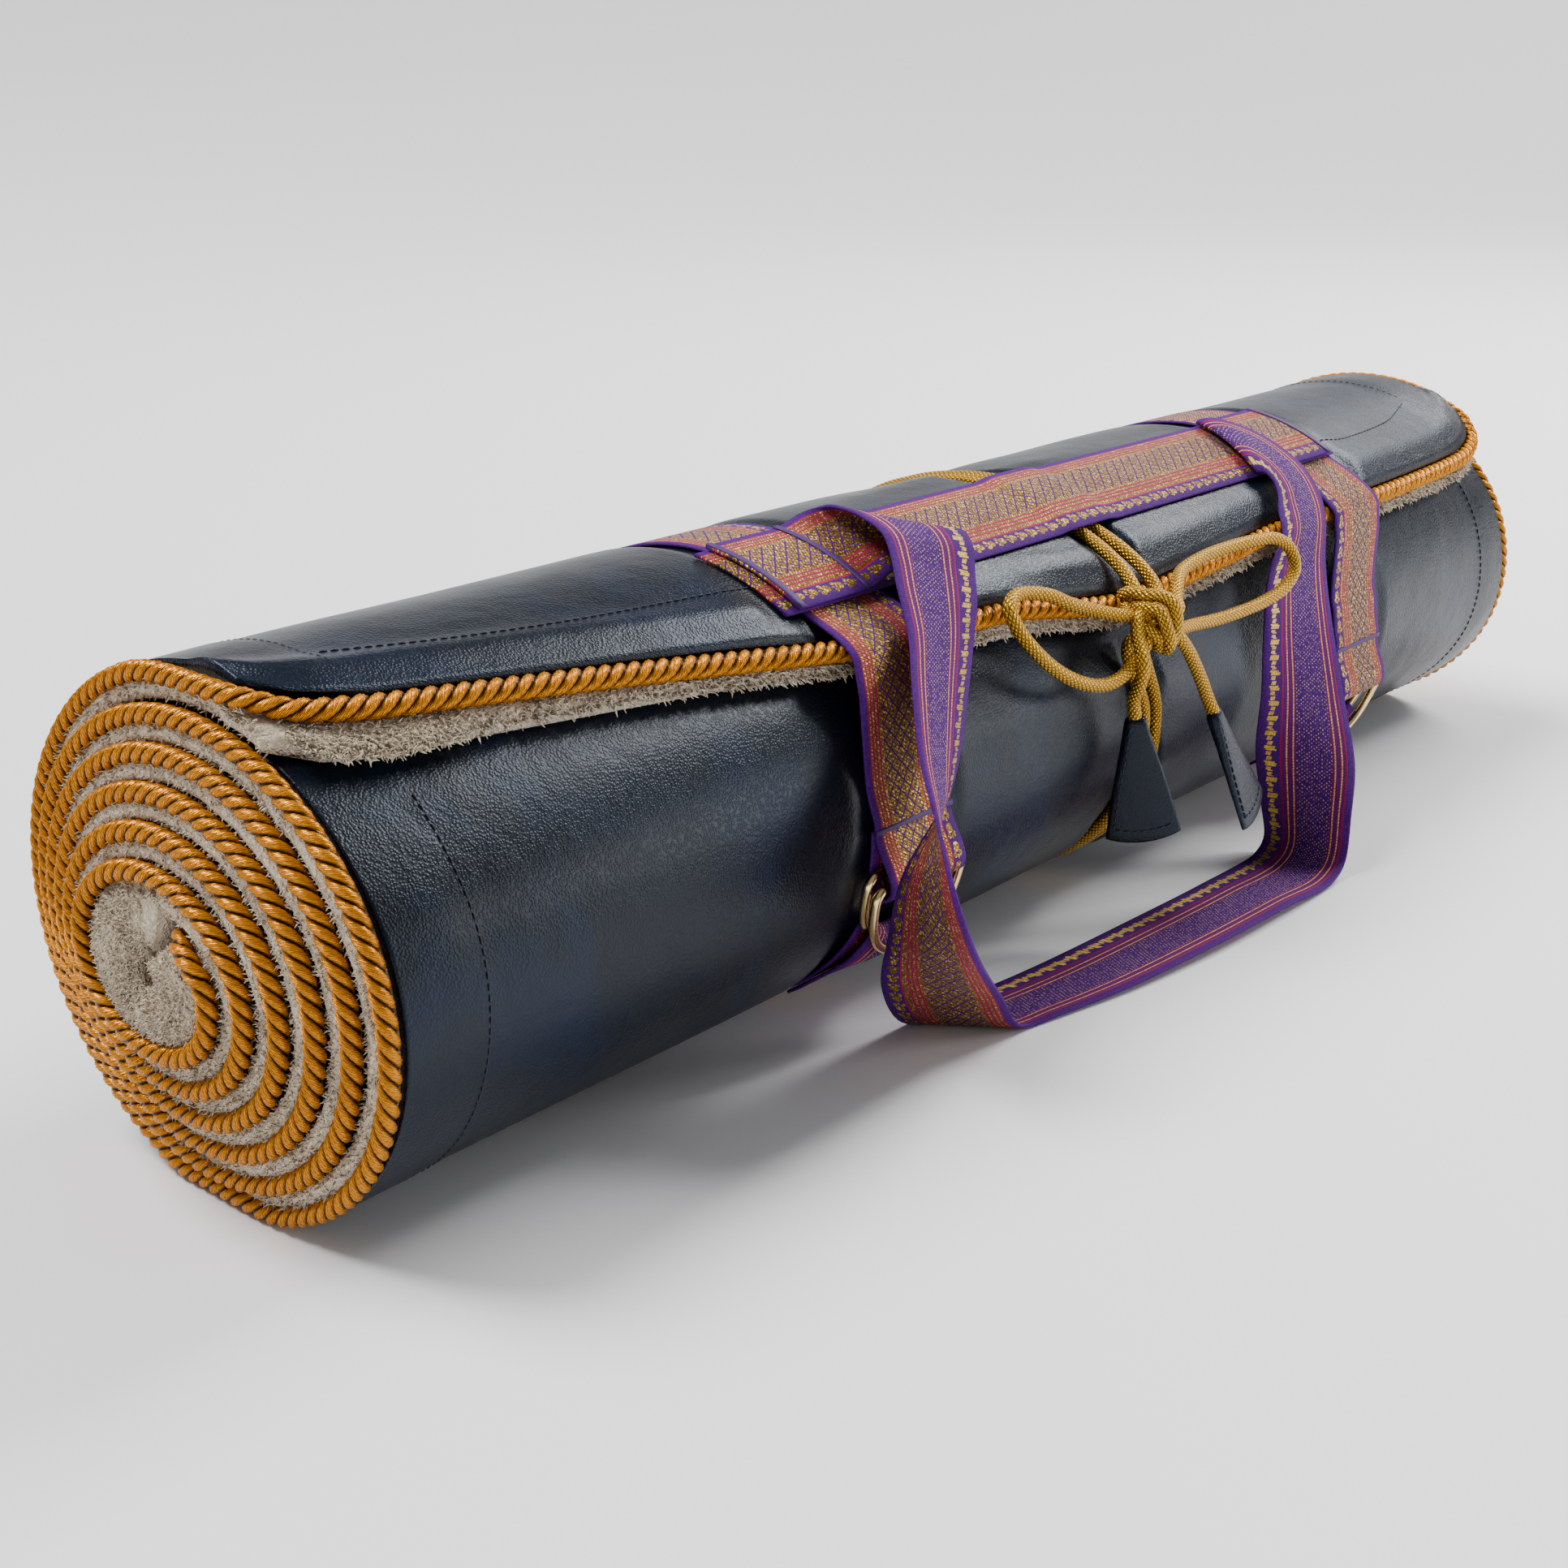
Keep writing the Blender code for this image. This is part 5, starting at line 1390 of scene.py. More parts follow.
@dataclass(frozen=True)
class Harness:
    """Two belts with their pairs of D-rings, the strap on top and the loose handle."""

    winding: Winding
    faces: tuple[Material, Material]
    brass: Material
    thread: Material
    belts: tuple = (("near", -125.0, 99.5, 47.0), ("far", 176.0, 105.5, 51.0))
    columns: int = 11
    width: float = STRAP_WIDTH * MM
    bend: float = 2.8 * MM
    corner: float = 3.5 * MM
    hem_half: float = 1.3
    hem_places: tuple = (("near_outer", -146.6, 3.3), ("near_inner", -115.2, 3.5),
                         ("far_inner", 153.0, 3.35), ("far_outer", 189.6, 3.3))
    snug: float = -0.65
    crest_out: float = 2.85
    ring_half: float = 21.6 * MM
    ring_depth: float = 26.0 * MM
    squareness: float = 2.6
    wire: float = 1.6 * MM
    wire_sides: int = 12
    flat_from: float = 5.0 * MM
    back_bar: tuple[float, float] = (0.0, 1.95 * MM)
    back_bow: tuple[float, float] = (19.0, 3.4 * MM)
    front_bar: tuple[float, float] = (2.5, 5.75 * MM)
    front_bow: tuple[float, float] = (21.5, 10.0 * MM)
    drawn_in: float = 0.14
    sewn_end: float = 76.0
    crest_half: tuple[float, float] = (2.5, 2.0)
    behind_turns: tuple[float, float] = (6.1, 5.45)
    row_step: float = 0.016
    top_count: int = 120
    bar_half: float = 19.1
    bar_angles: tuple[float, float] = (11.6, 10.2)
    bar_out: float = 1.45
    top_angle: float = 21.5
    top_bend: float = 81.5 * MM
    sewn_loop: tuple = (
        (-11.0, -0.65), (0.0, -0.65), (1.7, -0.3), (4.5, 2.6), (5.4, 5.6), (3.9, 8.3),
        (1.5, 8.6), (-2.0, 6.3), (-5.5, 3.1), (-8.5, 1.3), (-10.5, 0.8), (-12.5, 0.75),
        (-15.5, 0.0), (-18.5, -0.65),
    )
    threaded: tuple = (
        (30.0, -0.65, 0.0, 0.0, 0.0), (20.0, -0.4, 0.0, 0.0, 0.0),
        (12.0, 0.0, 0.1, 12.0, -3.4), (7.0, 0.3, 0.5, 8.0, -3.2), (3.0, 0.3, 1.0, 4.0, -2.9),
        (0.0, 0.0, 1.0, 1.2, -2.7), (0.0, 0.0, 1.0, -1.6, -2.1), (0.0, 0.0, 1.0, -2.7, 0.0),
        (0.0, 0.0, 1.0, -1.6, 2.1), (0.0, 0.0, 1.0, 1.2, 2.6), (4.0, 5.0, 1.0, 5.0, 1.8),
        (8.0, 3.9, 0.6, 10.0, 0.6), (14.0, 2.2, 0.1, 16.0, 0.0), (21.0, 1.1, 0.0, 0.0, 0.0),
        (29.0, 0.9, 0.0, 0.0, 0.0),
    )
    top_rows: tuple = ((-153, 0.85), (-8, 0.85), (2, 2.2), (22, 2.2), (32, 0.85), (196, 0.85))

    def bow_at(self, half: Array) -> Array:
        """How far the bow lies from the bar, at a distance from its middle."""
        share = np.minimum(np.abs(half) / self.ring_half, 1.0)
        return self.ring_depth * (1.0 - share**self.squareness) ** (1.0 / self.squareness)

    def ring_plane(self, bar: tuple, bow: tuple) -> tuple[Array, Array, Array]:
        """Middle of a ring's bar, its way down to the bow and its outward normal."""
        top, low = (self.winding.at(0.0, turn_at(OUTER_TURN, angle), out)
                    for angle, out in (bar, bow))
        down = unit(low - top)
        return top, down, np.cross(down, (1.0, 0.0, 0.0))

    def belt_path(self, bar: float, crest: float) -> Array:
        """A belt's route from its sewn end: turn, height, bow share, place from the wire."""
        sewn = [(turn_at(OUTER_TURN, bar + a), out, 0, 0, 0) for a, out in self.sewn_loop]
        sewn.append((turn_at(OUTER_TURN, self.sewn_end), self.snug, 0, 0, 0))
        below, above = self.crest_half
        upper = [(turn_at(LAST_TURN, crest + below), self.crest_out, 0, 0, 0),
                 (turn_at(LAST_TURN, crest - above), self.crest_out, 0, 0, 0)]
        upper += [(turn, self.snug, 0, 0, 0) for turn in self.behind_turns]
        bow = bar + self.back_bow[0]
        upper += [(turn_at(OUTER_TURN, bow + angle), *rest) for angle, *rest in self.threaded]
        full = []
        for part in (sewn, upper):
            rows = np.array(part, float)
            for first, second in zip(rows, rows[1:]):
                steps = max(1, math.ceil(abs(second[0] - first[0]) / self.row_step))
                full += [first + (second - first) * k / steps for k in range(steps)]
            full.append(rows[-1])
        return np.array(full) * (1, MM, 1, MM, MM)

    def belt(self, side: str, centre: float, bar: float, crest: float) -> None:
        """One belt round the roll, held by its pair of rings."""
        bow = (bar + self.back_bow[0], self.back_bow[1])
        top, down, normal = self.ring_plane((bar, self.back_bar[1]), bow)
        parts = np.linspace(-1.0, 1.0, self.columns)
        rows = []
        for turn, out, share, u, v in self.belt_path(bar, crest):
            half = parts * self.width / 2 * (1.0 - self.drawn_in * share)
            slope = np.gradient(self.bow_at(half), half)
            square = unit(np.stack([-slope, np.ones(self.columns)], axis=1))
            near = max(-self.bend, min(u, self.bend))
            depth = self.bow_at(half) + square[:, 1] * near + u - near
            ring = top + down * depth[:, None] + normal * v
            ring[:, 0] += half + square[:, 0] * near
            plain = self.winding.at(half, turn, out)
            row = plain + (ring - plain) * share
            row[:, 0] += centre
            rows.append(row)
        smooth = through(np.array(rows), 3)
        piece = strap_piece(f"strap_{side}", smooth, self.faces, side == "far")
        length = measure(smooth[:, self.columns // 2])[-1]
        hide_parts(f"belt_{side}")

    def ring(self, name: str, centre: float, bar: tuple, bow: tuple) -> None:
        """A D-ring in the plane through its bar and its bow."""
        top, down, _ = self.ring_plane(bar, bow)
        half = [(self.ring_half + self.corner * (math.sin(a) - 1),
                 self.corner * (1 - math.cos(a))) for a in np.linspace(0, math.pi / 2, 6)]
        power = 2.0 / self.squareness
        for angle in np.linspace(0.05, math.pi / 2, 16):
            across = self.ring_half * math.cos(angle) ** power
            depth = float(self.bow_at(np.array(across)))
            if depth > self.flat_from:
                half.append((across, depth))
        half = np.array(half)
        flat = np.concatenate([half, half[:-1][::-1] * (-1, 1)])
        points = top + down * flat[:, 1:]
        points[:, 0] += centre + flat[:, 0]
        line = evenly(through(points, 4, closed=True), 1.2 * MM, closed=True)
        piece = tube_piece(f"{name}_wire", line, self.wire, self.wire_sides, self.brass,
                           ring=True)
        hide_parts(name)

    def build(self) -> None:
        """The top strap and both belts with their rings."""
        self.top_strap()
        rings = ("back", self.back_bar, self.back_bow), ("front", self.front_bar, self.front_bow)
        for side, middle, bar, crest in self.belts:
            centre = middle * MM
            self.belt(side, centre, bar, crest)
            for place, low, high in rings:
                self.ring(f"d_ring_{place}_{side}", centre, (bar + low[0], low[1]),
                          (bar + high[0], high[1]))

    def band(self, name: str, x: tuple, angles: tuple, out: float, turn: float) -> None:
        """A purple hem or row of close stitches across a strap, in mm and degrees."""
        wide = x[1] - x[0] > 10
        places = np.linspace(*x, 24 if wide else 4) * MM
        turns = turn_at(turn, np.linspace(*angles, 4 if wide else 16))
        grid = self.winding.at(places[:, None], turns[None, :], out * MM)
        rows = grid if wide else grid.transpose(1, 0, 2)
        strap_piece(name, rows, (self.thread, self.thread), thick=0.7 * MM)

    def hems(self) -> None:
        """The hems of the handle's ends and the bars of stitches over the rings."""
        for name, x, out in self.hem_places:
            span = (x - self.hem_half, x + self.hem_half)
            self.band(f"hem_{name}", span, tuple(self.top_angles(2)), out, LAST_TURN)
        for side, middle, bar, _ in self.belts:
            span = (middle - self.bar_half, middle + self.bar_half)
            angles = tuple(bar - angle for angle in self.bar_angles)
            self.band(f"bar_{side}", span, angles, self.bar_out, OUTER_TURN)

    def top_angles(self, count: int) -> Array:
        """Angles across the top strap, from its back edge to its front edge."""
        half = math.degrees(self.width / 2 / self.top_bend)
        return np.linspace(self.top_angle - half, self.top_angle + half, count)

    def top_strap(self) -> None:
        """The strap along the top from belt to belt."""
        x = np.linspace(self.top_rows[0][0], self.top_rows[-1][0], self.top_count)
        out = smooth_table(self.top_rows, x)
        turns = turn_at(LAST_TURN, self.top_angles(self.columns))
        rows = self.winding.at(x[:, None] * MM, turns[None, :], out[:, None] * MM)
        piece = strap_piece("strap_top", rows, self.faces)
        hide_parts("top_strap")
        measure(rows[:, self.columns // 2])[-1]


@dataclass(frozen=True)
class Handle:
    """The loose carry strap: rows of its plain and flower edges, free, folded and sewn."""

    harness: Harness
    sewn_near: tuple = ((-148.0, 2.6), (-128.0, 2.6), (-118.0, 2.65), (-113.5, 3.0))
    sewn_far: tuple = ((151.5, 2.65), (157.0, 2.6), (191.0, 2.6))
    free: tuple = (
        ((-104, -15, 158.0), (-94, -49, 145.5)), ((-100, -21, 160.0), (-81, -49.5, 148.0)),
        ((-102, -30, 161.0), (-73, -50.5, 151.0)), ((-105, -39, 160.0), (-68.5, -54, 151.5)),
        ((-108, -49, 157.0), (-69, -59, 147.0)), ((-112, -56, 151.0), (-73, -63, 138.5)),
        ((-116, -62, 144), (-78, -67, 132)), ((-122, -72, 132), (-84, -70, 124)),
        ((-134, -83, 119), (-96, -77, 108)), ((-145, -95, 102), (-108, -83, 92)),
        ((-151, -106, 88), (-120, -87, 81)), ((-160, -121, 69), (-143, -88, 62)),
        ((-152, -121, 51), (-146, -87, 45)), ((-118, -108, 20), (-141, -80, 23)),
        ((-100, -107, 2.4), (-122, -73, 1.2)), ((-80, -112, 1.6), (-100, -74, 0.9)),
        ((-48, -118, 2.4), (-62, -79, 0.9)), ((0, -122, 3.6), (0, -84, 0.9)),
        ((45, -123.5, 3.4), (45, -86, 0.9)), ((78, -123, 1.8), (84, -86.5, 1.2)),
        ((91, -121, 6), (96, -85, 6)), ((98, -118, 22), (97, -82.5, 19)),
        ((110, -110, 38), (95, -81.5, 40)), ((123, -98, 62), (92, -81.5, 66)),
        ((127, -90, 88), (90, -80, 92)), ((136, -80, 108), (100, -76, 110)),
    )
    fold: tuple = (
        ((146, 53.0, 4.6), (110, 54.0, 4.6)), ((152, 46.0, 5.6), (116, 48.0, 5.6)),
        ((155, 37.0, 6.4), (123, 43.5, 6.4)), ((154, 23.0, 6.4), (127.0, 39.8, 6.6)),
        ((148.5, 12.0, 6.0), (127.5, 36.8, 6.2)), ((145.5, 9.0, 4.3), (127.5, 35.2, 4.4)),
        ((147.5, 8.4, 2.8), (133.0, 34.9, 2.8)),
    )

    def free_row(self, plain: tuple, flower: tuple) -> Array:
        """Points across the handle, at its own width, from edge to edge."""
        first, last = np.array(plain, float) * MM, np.array(flower, float) * MM
        middle, half = (first + last) / 2, unit(last - first) * self.harness.width / 2
        return middle + half * np.linspace(-1.0, 1.0, self.harness.columns)[:, None]

    def laid_row(self, plain: tuple, flower: tuple) -> Array:
        """Points across the handle where it lies on the roll, bent as the roll is."""
        share = np.linspace(0.0, 1.0, self.harness.columns)[:, None]
        x, angle, out = (np.array(plain) + (np.array(flower) - plain) * share).T
        return self.harness.winding.at(x * MM, turn_at(LAST_TURN, angle), out * MM)

    def build(self) -> None:
        """The whole handle with its two sewn ends."""
        low, high = self.harness.top_angles(2)
        near, far = ([((x, low, out), (x, high, out)) for x, out in end]
                     for end in (self.sewn_near, self.sewn_far))
        rows = [self.laid_row(*edges) for edges in near]
        rows += [self.free_row(*edges) for edges in self.free]
        rows += [self.laid_row(*edges) for edges in (*self.fold, *far)]
        smooth = through(np.array(rows), 8)
        smooth[..., 2] = np.maximum(smooth[..., 2], 0.9 * MM)
        piece = strap_piece("strap_handle", smooth, self.harness.faces)
        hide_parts("handle_strap")
        length = measure(smooth[:, self.harness.columns // 2])[-1]


# The tie


@dataclass(frozen=True)
class Tie:
    """A doubled cord round the roll, tied in a bow with two tails in leather tips."""

    winding: Winding
    look: Material
    leather: Material
    stitching: Stitching
    radius: float = 2.4 * MM
    sides: int = 12
    step: float = 1.6 * MM
    lift: float = 0.1 * MM
    spread: float = 4.0 * MM
    rooted: float = 2.6
    led_out: float = 3.2
    into_tip: tuple[float, ...] = (-6.0, -0.35, 2.0)
    centre: tuple[float, float, float] = (0.5, -83.0, 112.5)
    halves: tuple[float, float, float] = (9.0, 6.5, 8.0)
    right: tuple[float, float, float] = (0.6542, -0.7564, 0.0)
    up: tuple[float, float, float] = (0.2522, 0.2181, 0.9429)
    front: tuple[float, float, float] = (-0.7131, -0.6168, 0.3334)
    left_loop: tuple = (
        (-14, -80, 117), (-24, -77, 120), (-37, -75, 124.5), (-45, -72, 128.5),
        (-56, -69.5, 131), (-63, -70, 131), (-68, -72, 128.5), (-67, -75, 122), (-62, -79, 114),
        (-53, -82, 106), (-42, -84.5, 100), (-30, -86, 97), (-20, -86.5, 98), (-12, -87, 103),
    )
    right_loop: tuple = (
        (15, -85, 117.5), (22, -81, 121.5), (31, -77, 123.5), (46, -76, 125.5),
        (62, -77, 126.5), (78, -80, 127), (90, -83, 126), (96, -86, 121), (96, -88, 114),
        (89, -88, 108.5), (76, -87, 105.5), (60, -86, 104.5), (44, -85, 104.5),
        (30, -84.5, 105.5), (18, -85.5, 106.5),
    )
    left_tail: tuple = ((-13.6, -90.6, 101.5), (-13.3, -89.3, 93.5))
    right_tail: tuple = ((11, -93, 102), (17, -93, 95), (24, -92.6, 86.5))
    crests: tuple = (
        ((2.5, 6.150, 4.9), (4.5, 6.138, 3.7), (6.0, 6.120, 1.6), (7.5, 6.100, -1.0)),
        ((13.0, 6.158, 5.6), (15.0, 6.143, 4.3), (15.5, 6.120, 1.6), (16.0, 6.100, -1.0)),
    )
    tips: tuple = (
        ((-11.7, -87.2, 81.5), (-8.2, -91.0, 39.8), (0.66, -0.75, -0.2)),
        ((30.6, -93.8, 75.0), (48.0, -105.0, 32.0), (0.92, 0.25, 0.28)),
    )
    tip_length: float = 44.0
    tip_powers: tuple[float, float] = (0.85, 0.75)
    tip_corner: float = 1.2
    tip_bow: float = 2.5 * MM
    seam_inset: float = 2.2 * MM
    foot_seam: float = 39.6
    foot_bow: float = 2.2
    foot_half: float = 1.68
    tip_sizes: tuple = ((0.0, 7.0, 5.6), (0.25, 12.0, 5.0), (0.6, 19.5, 4.0), (1.0, 27.0, 3.2))
    ports: tuple = (
        ((0.11, 0.60, 0.80), (0.80, 0.35, 0.48)), ((-0.42, 0.40, -0.82), (0.42, 0.40, -0.82)),
        ((-0.94, 0.15, 0.32), (0.85, -0.45, 0.28)), ((-0.80, -0.35, -0.49), (0.86, -0.25, -0.45)),
    )
    wraps: tuple = (
        ((-9.5, 8.5, 0.5), (-6.6, 9.8, 3), (-2, 8.5, 5), (3.3, 8.2, 5), (7.5, 5.5, 5),
         (8.9, 0, 4.4), (8, -6, 3), (5.5, -9, -1)),
        ((-5.0, 4.6, 3.0), (-1.2, 4.1, 6), (2.9, 2.5, 7), (5, -2.5, 7), (6.5, -8, 5),
         (6.0, -10, 1.0)),
        ((-8, 5.5, 1.0), (-6.0, 0.5, 4.5), (-1.5, -3.5, 6), (2.5, -6.5, 5), (3.5, -9.5, 1)),
    )
    left_start: tuple = ((-0.4, 1.2, 4), (-4.5, 1.5, 7), (-5, -5, 8))

    def port(self, way: tuple) -> tuple[Array, Array]:
        """A point inside the knot and one that leads a cord straight out of it."""
        halves = np.array(self.halves) * MM
        way = unit(np.array(way))
        reach = 1.0 / np.linalg.norm(way / halves)
        normal = unit(way / halves**2)
        surface = np.array(self.centre) * MM + way * reach
        return surface - normal * self.rooted * MM, surface + normal * self.led_out * MM

    def seen(self, points: tuple) -> Array:
        """Points given in mm to the right, up and forward of the knot's middle."""
        axes = np.array([self.right, self.up, self.front])
        return (np.array(points, float) @ axes + self.centre) * MM

    def declare(self, name: str, line: Array, node: str) -> Object:
        """Makes one cord and hides the model's part that it stands for."""
        line = evenly(line, self.step)
        piece = tube_piece(name, line, self.radius, self.sides, self.look)
        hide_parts(node)
        float(measure(line)[-1])
        2 * self.radius
        return piece

    def strand(self, index: int) -> Array:
        """A strand's line round the roll, from the knot over the top and back to it."""
        wind = self.winding
        start, _ = self.port(self.ports[0][index])
        end, lead = self.port(self.ports[1][index])
        points = [start]
        for x, turn, out in self.crests[index]:
            points.append(wind.at(x * MM, turn, out * MM))
        for turn in np.arange(6.075, 5.22, -0.02):
            out = self.radius + self.lift - wind.tie_depth(turn)
            points.append(wind.at(wind.tie_x + (2 * index - 1) * self.spread, turn, out))
        return through(np.array(points + [lead, end]), 6)

    def loop(self, route: tuple, index: int) -> Array:
        """A bow's loop out of the knot and back."""
        start, lead = self.port(self.ports[2][index])
        end, back = self.port(self.ports[3][index])
        knots = np.concatenate([[start, lead], np.array(route) * MM, [back, end]])
        return through(knots, 10)

    def tail(self, inside: Array, route: tuple, index: int) -> Array:
        """A tail from inside the knot straight into its tip."""
        apex, foot = (np.array(self.tips[index][k]) * MM for k in (0, 1))
        along = unit(foot - apex)
        ends = [apex + along * reach * MM for reach in self.into_tip]
        return through(np.concatenate([inside, np.array(route) * MM, ends]), 10)

    def tip(self, index: int, name: str) -> Object:
        """A flat leather tip that widens to its bowed foot, with its seams."""
        apex, foot, side = (np.array(item, float) for item in self.tips[index])
        apex, foot = apex * MM, foot * MM
        along = unit(foot - apex)
        side = unit(side - along * (side @ along))
        face = np.cross(along, side)
        table = np.array(self.tip_sizes)
        angles = np.linspace(0, FULL_TURN, 29)[:-1]
        u, v = (np.sign(wave) * np.abs(wave) ** power
                for wave, power in zip((np.cos(angles), np.sin(angles)), self.tip_powers))

        def halves(share: float) -> list[Array]:
            """Half the width and half the thickness at a share of the length."""
            return [smooth_table(table[:, [0, k]], share) * MM / 2 for k in (1, 2)]

        def section(share: float, shrink: float = 1.0, back: float = 0.0) -> Array:
            """Points round the tip, made smaller or drawn back at its ends."""
            wide, thick = halves(share)
            inset = (1 - shrink) * self.tip_corner * MM
            bow = self.tip_bow * (1 - u**2) * ease(0.55, 1.0, share) - back
            middle = apex + along * self.tip_length * MM * share
            flat = side * (u * (wide - inset))[:, None] + face * (v * (thick * shrink))[:, None]
            return middle + flat + along * bow[:, None]

        rows = [section(0.0, 0.55), section(0.012, 0.85)]
        rows += [section(share) for share in np.linspace(0.04, 0.975, 22)]
        rows += [section(1.0, 0.85, 0.35 * MM), section(1.0, 0.45)]
        uv = np.zeros((len(rows) + 1, 29, 2))
        piece = grid_piece(f"leather_tip_{name}", np.array(rows), [self.leather], uv)
        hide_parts(f"tip_{name}")
        outer = 1.0 if face @ np.array(self.front) > 0 else -1.0
        edge = -1.0 if side @ np.array(self.right) > 0 else 1.0
        lines = {"edge": [], "foot": []}
        for share in np.linspace(0.06, 0.93, 30):
            wide, thick = halves(share)
            lines["edge"].append(apex + along * self.tip_length * MM * share
                                 + side * edge * (wide - self.seam_inset)
                                 + face * outer * thick * 0.80)
        wide, _ = halves(0.9)
        for place in np.linspace(-0.8, 0.8, 20):
            down = self.foot_seam + self.foot_bow * (1 - place**2)
            raised = (1 - abs(place) ** 3) ** 0.36
            lines["foot"].append(apex + along * down * MM + side * place * wide
                                 + face * outer * self.foot_half * MM * raised)
        for kind, line in lines.items():
            ups = np.broadcast_to(face * outer, (len(line), 3))
            self.stitching.along(f"tip_{name}_{kind}_seam", np.array(line), ups,
                                 2.2 * MM, 3.0 * MM, 0.3 * MM)
        return piece

    def build(self) -> None:
        """The whole tie: tips, strands, bow, tails and knot."""
        names = ("left", "right")
        tips = [self.tip(index, name) for index, name in enumerate(names)]
        for index, name in enumerate(names):
            self.declare(f"cord_strand_{name}", self.strand(index), f"tie_strand_{name}")
        for index, route in enumerate((self.left_loop, self.right_loop)):
            self.declare(f"cord_loop_{names[index]}", self.loop(route, index),
                         f"bow_loop_{names[index]}")
        starts = self.seen(self.left_start), np.array(self.port((0.36, -0.85, -0.38)))
        routes = self.left_tail, self.right_tail
        for index, name in enumerate(names):
            line = self.tail(starts[index], routes[index], index)
            self.declare(f"cord_tail_{name}", line, f"tie_tail_{name}")
        for number, wrap in enumerate(self.wraps, 1):
            line = evenly(through(self.seen(wrap), 10), 1.2 * MM)
            tube_piece(f"knot_turn_{number}", line, self.radius, self.sides, self.look)
        heights = np.linspace(-0.96, 0.96, 13)
        centre = np.array(self.centre) * MM
        line = centre + np.array([0, 0, 1.0]) * heights[:, None] * 6.6 * MM
        core = tube_piece("knot_core", line, 6.2 * MM * np.sqrt(1 - heights**2), 16, self.look)
        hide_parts("tie_knot")


# The studio


@dataclass(frozen=True)
class Studio:
    """Pale floor, soft lights and the photograph's viewing angle."""

    eye: tuple[float, float, float] = (-0.6121, -0.4463, 0.3006)
    aim: tuple[float, float, float] = (0.7131, 0.6168, -0.3334)
    lens: float = 48.06
    sensor: float = 36.0
    floor: Colour = (0.93, 0.93, 0.94)
    sides: int = 72
    cloud: float = 0.9
    shade: float = 0.985
    rises_from: tuple[float, float] = (0.2, 0.7)
    wider_beside: float = 8
    bowl: tuple = ((0.01, 0.0), (3.5, 0.0), (4.0, 0.06), (4.5, 0.25), (5.0, 0.58), (5.5, 1.0),
                   (6.0, 1.5), (7.0, 2.6))
    sun_way: tuple[float, float, float] = (0.30, -0.55, -1.0)
    sun_strength: float = 4.6
    sun_spread: float = 30.0
    lamps: tuple = (
        ("key", (2.0, -0.1, 1.9), (0.0, 0.0, 0.05), 1.1, 52.0),
        ("front", (1.9, -2.0, 0.65), (0.0, 0.0, 0.08), 0.9, 20.0),
        ("streak", (1.5, -0.7, 1.5), (-0.1, 0.0, 0.08), 0.4, 18.0),
    )
    sky: Colour = (0.95, 0.97, 1.0)
    sky_strength: float = 0.3

    def ground(self) -> None:
        """The floor, which rises ahead of the camera and runs far out to the sides."""
        angles = circle(self.sides)
        ring = np.stack([np.cos(angles), np.sin(angles)], axis=1)
        ahead = np.array(self.aim[:2]) / np.hypot(*self.aim[:2])
        share = ease(*self.rises_from, ring @ ahead)
        wider = 1 + self.wider_beside * (1 - share)
        last = self.bowl[-1][0]
        points = [(*(ring[k] * (r if r < last else r * wider[k])), z * share[k])
                  for r, z in self.bowl for k in range(self.sides)]
        mesh = bpy.data.meshes.new("floor")
        faces = quads(len(self.bowl), self.sides) + [list(range(self.sides))]
        mesh.from_pydata(points, [], faces)
        mesh.shade_smooth()
        made, tree, shader = new_material("Floor")
        darker = tuple(part * self.shade for part in self.floor)
        tree.fill(shader, Base_Color=tree.mix(tree.noise(self.cloud), darker, self.floor),
                  Roughness=0.75, Specular_IOR_Level=0.25)
        mesh.materials.append(made)
        add_to_scene("floor", mesh)

    def stand(self, name: str, data: bpy.types.ID, way: Sequence[float],
              place: Sequence[float] = (0.0, 0.0, 0.0)) -> Object:
        """Puts a light or the camera at a place, facing along a direction."""
        made = add_to_scene(name, data)
        made.location = place
        made.rotation_euler = Vector(way).to_track_quat("-Z", "Y").to_euler()
        return made

    def lights(self) -> None:
        """Even soft light from far off, square lamps and a pale sky."""
        sun = bpy.data.lights.new("sky", "SUN")
        sun.energy = self.sun_strength
        sun.angle = math.radians(self.sun_spread)
        self.stand("sky", sun, self.sun_way)
        for name, place, target, size, watts in self.lamps:
            lamp = bpy.data.lights.new(name, "AREA")
            lamp.shape = "SQUARE"
            lamp.size = size
            lamp.energy = watts
            self.stand(name, lamp, Vector(target) - Vector(place), place)
        world = bpy.data.worlds.new("world")
        world.use_nodes = True
        back = world.node_tree.nodes["Background"]
        back.inputs["Color"].default_value = (*self.sky, 1.0)
        back.inputs["Strength"].default_value = self.sky_strength
        bpy.context.scene.world = world

    def camera(self) -> None:
        """The camera."""
        data = bpy.data.cameras.new("camera")
        data.sensor_fit = "HORIZONTAL"
        data.sensor_width = self.sensor
        data.lens = self.lens
        data.clip_start = 0.01
        bpy.context.scene.camera = self.stand("camera", data, self.aim, self.eye)

    def build(self) -> None:
        """Everything round the rug."""
        self.ground()
        self.lights()
        self.camera()


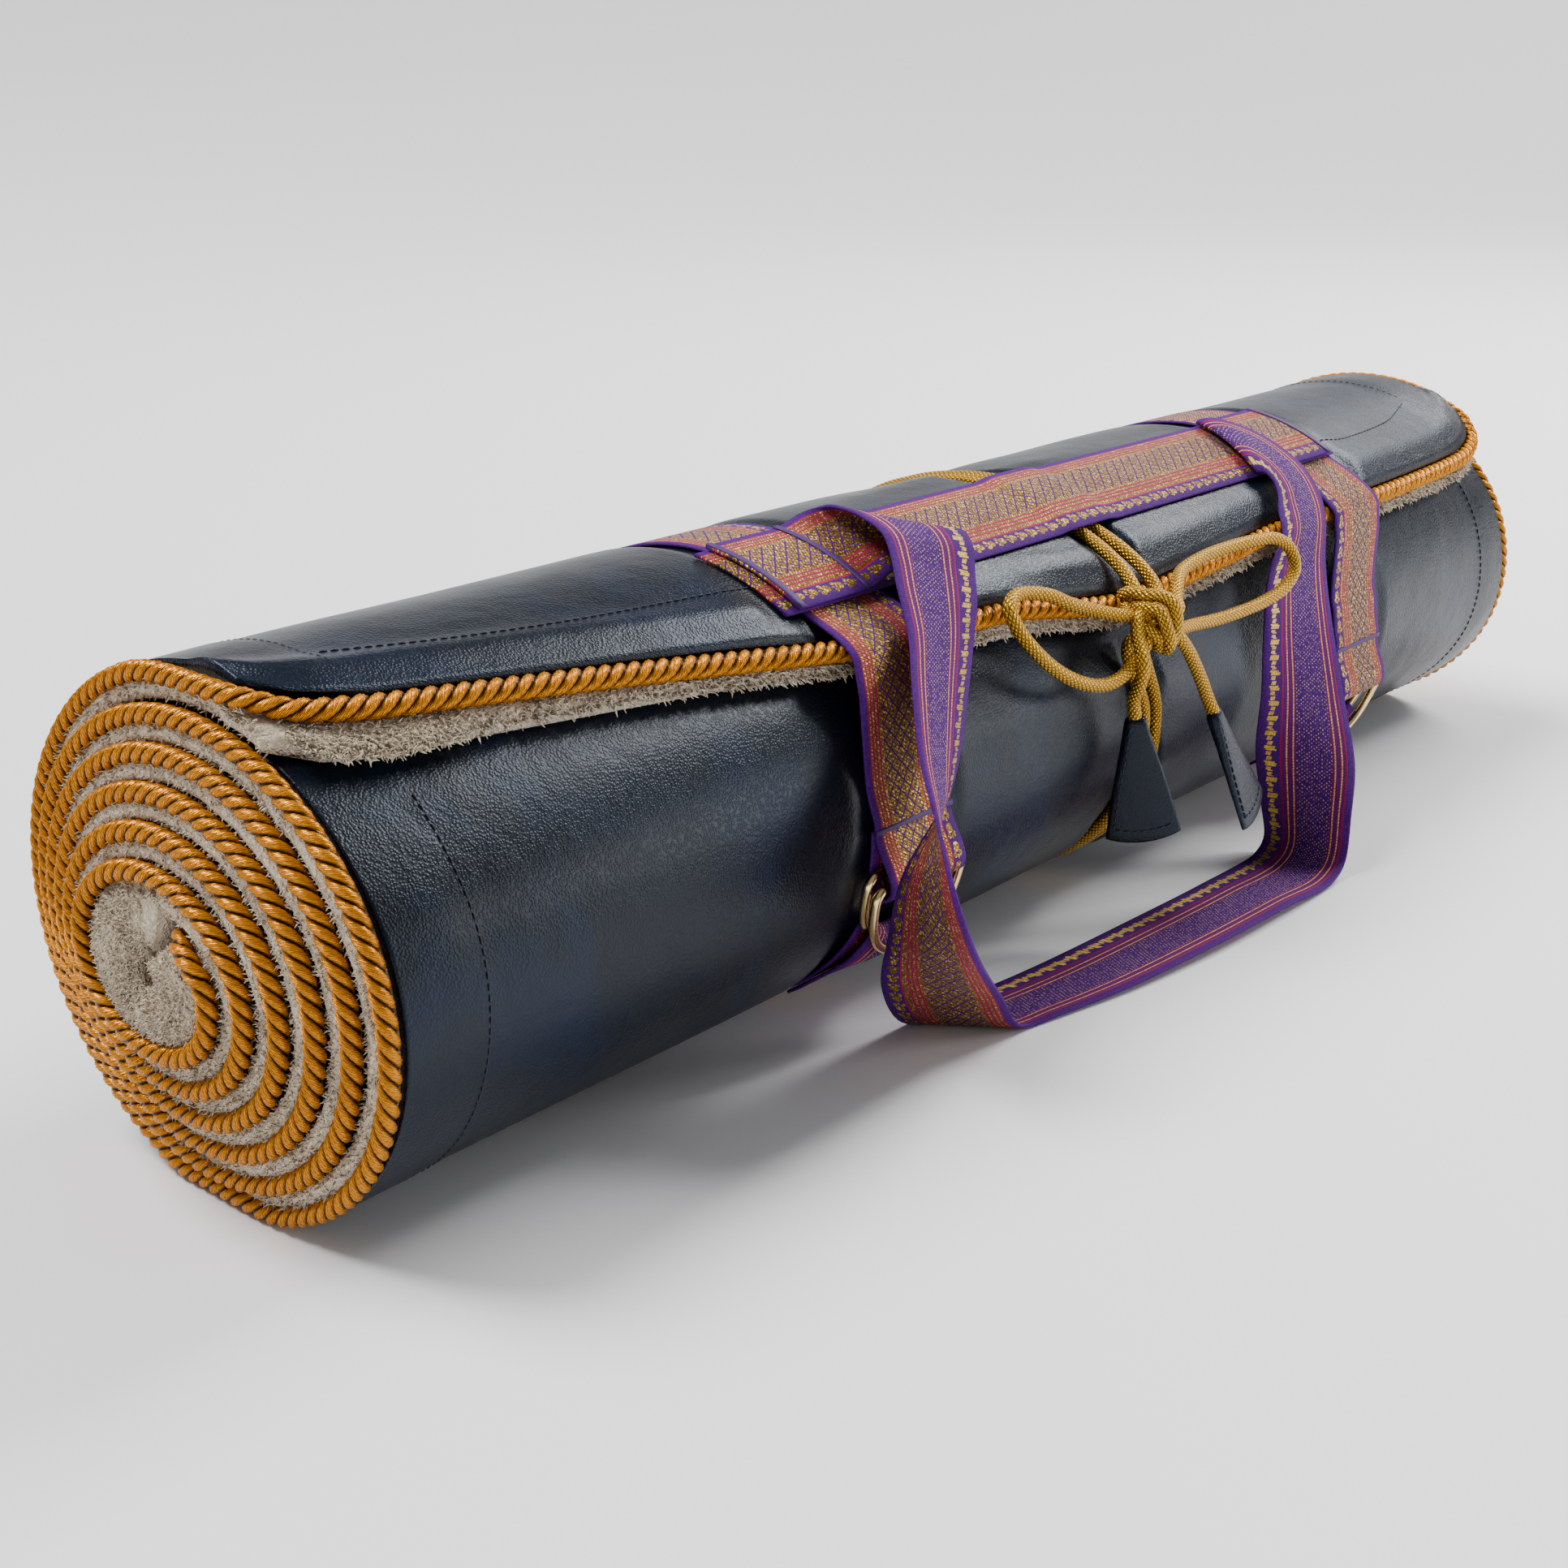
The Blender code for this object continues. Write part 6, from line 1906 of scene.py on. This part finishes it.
@dataclass(frozen=True)
class EdgeSeams:
    """Stitch rows round both ends of the roll and along the flap."""

    winding: Winding
    stitching: Stitching
    end_x: float = 299.0
    last_angles: tuple = (("near", -1, 14.7), ("far", 1, 20.0))
    flap_row: tuple = (
        (-299.0, 8.0), (-265.0, 14.7), (-220.0, 19.4), (-193.0, 21.3), (-152.0, 24.0),
        (0.0, 29.0), (100.0, 26.0), (191.0, 27.0), (218.0, 30.0), (260.0, 28.5), (299.0, 22.0),
    )
    over: float = 0.1 * MM

    def sew(self, name: str, xs: Array, turns: Array, dip: Array) -> None:
        """Lays one row of stitches on the leather."""
        wind = self.winding
        height = Relief(wind).height(xs[None, :], turns[None, :])[0] - dip + self.over
        line = wind.at(xs, turns, height)
        self.stitching.along(name, line, wind.at(xs, turns, height + MM) - line)

    def build(self) -> None:
        """Sews the rows at both ends and the one along the flap."""
        for name, side, angle in self.last_angles:
            turns = np.linspace(5.12, turn_at(LAST_TURN, angle), 320)
            self.sew(f"{name}_seam", np.full(320, side * self.end_x * MM), turns, 0.0)
        x = np.linspace(-296.0, 296.0, 400) * MM
        turns = turn_at(LAST_TURN, smooth_table(self.flap_row, x / MM))
        self.sew("flap_seam", x, turns, self.winding.dip(x, turns))


def main() -> None:
    """Builds the dressed rug and its studio."""
    logging.basicConfig(level=logging.INFO)
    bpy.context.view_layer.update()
    winding = Winding()
    leather, wool = LeatherFinish().build(), FleeceFinish().build()
    faces = BrocadeFinish().build()
    brass, cord = BrassFinish().build(), CordFinish().build()
    navy = ThreadFinish("Navy thread", (0.010, 0.014, 0.028)).build()
    purple = ThreadFinish("Purple thread", (0.06, 0.004, 0.15)).build()
    repeats = Repeats(Repeats.make_group())
    stitching = Stitching(repeats, navy)
    roll = Roll(winding, leather, wool)
    sheet = roll.leather_piece()
    lining = roll.fleece_piece()
    Edging(winding, RopeFinish().build()).build()
    Wool(winding, repeats, wool).build()
    EdgeSeams(winding, stitching).build()
    harness = Harness(winding, faces, brass, purple)
    harness.build()
    Handle(harness).build()
    harness.hems()
    Tie(winding, cord, leather, stitching).build()
    Studio().build()


if __name__ == "__main__":
    main()
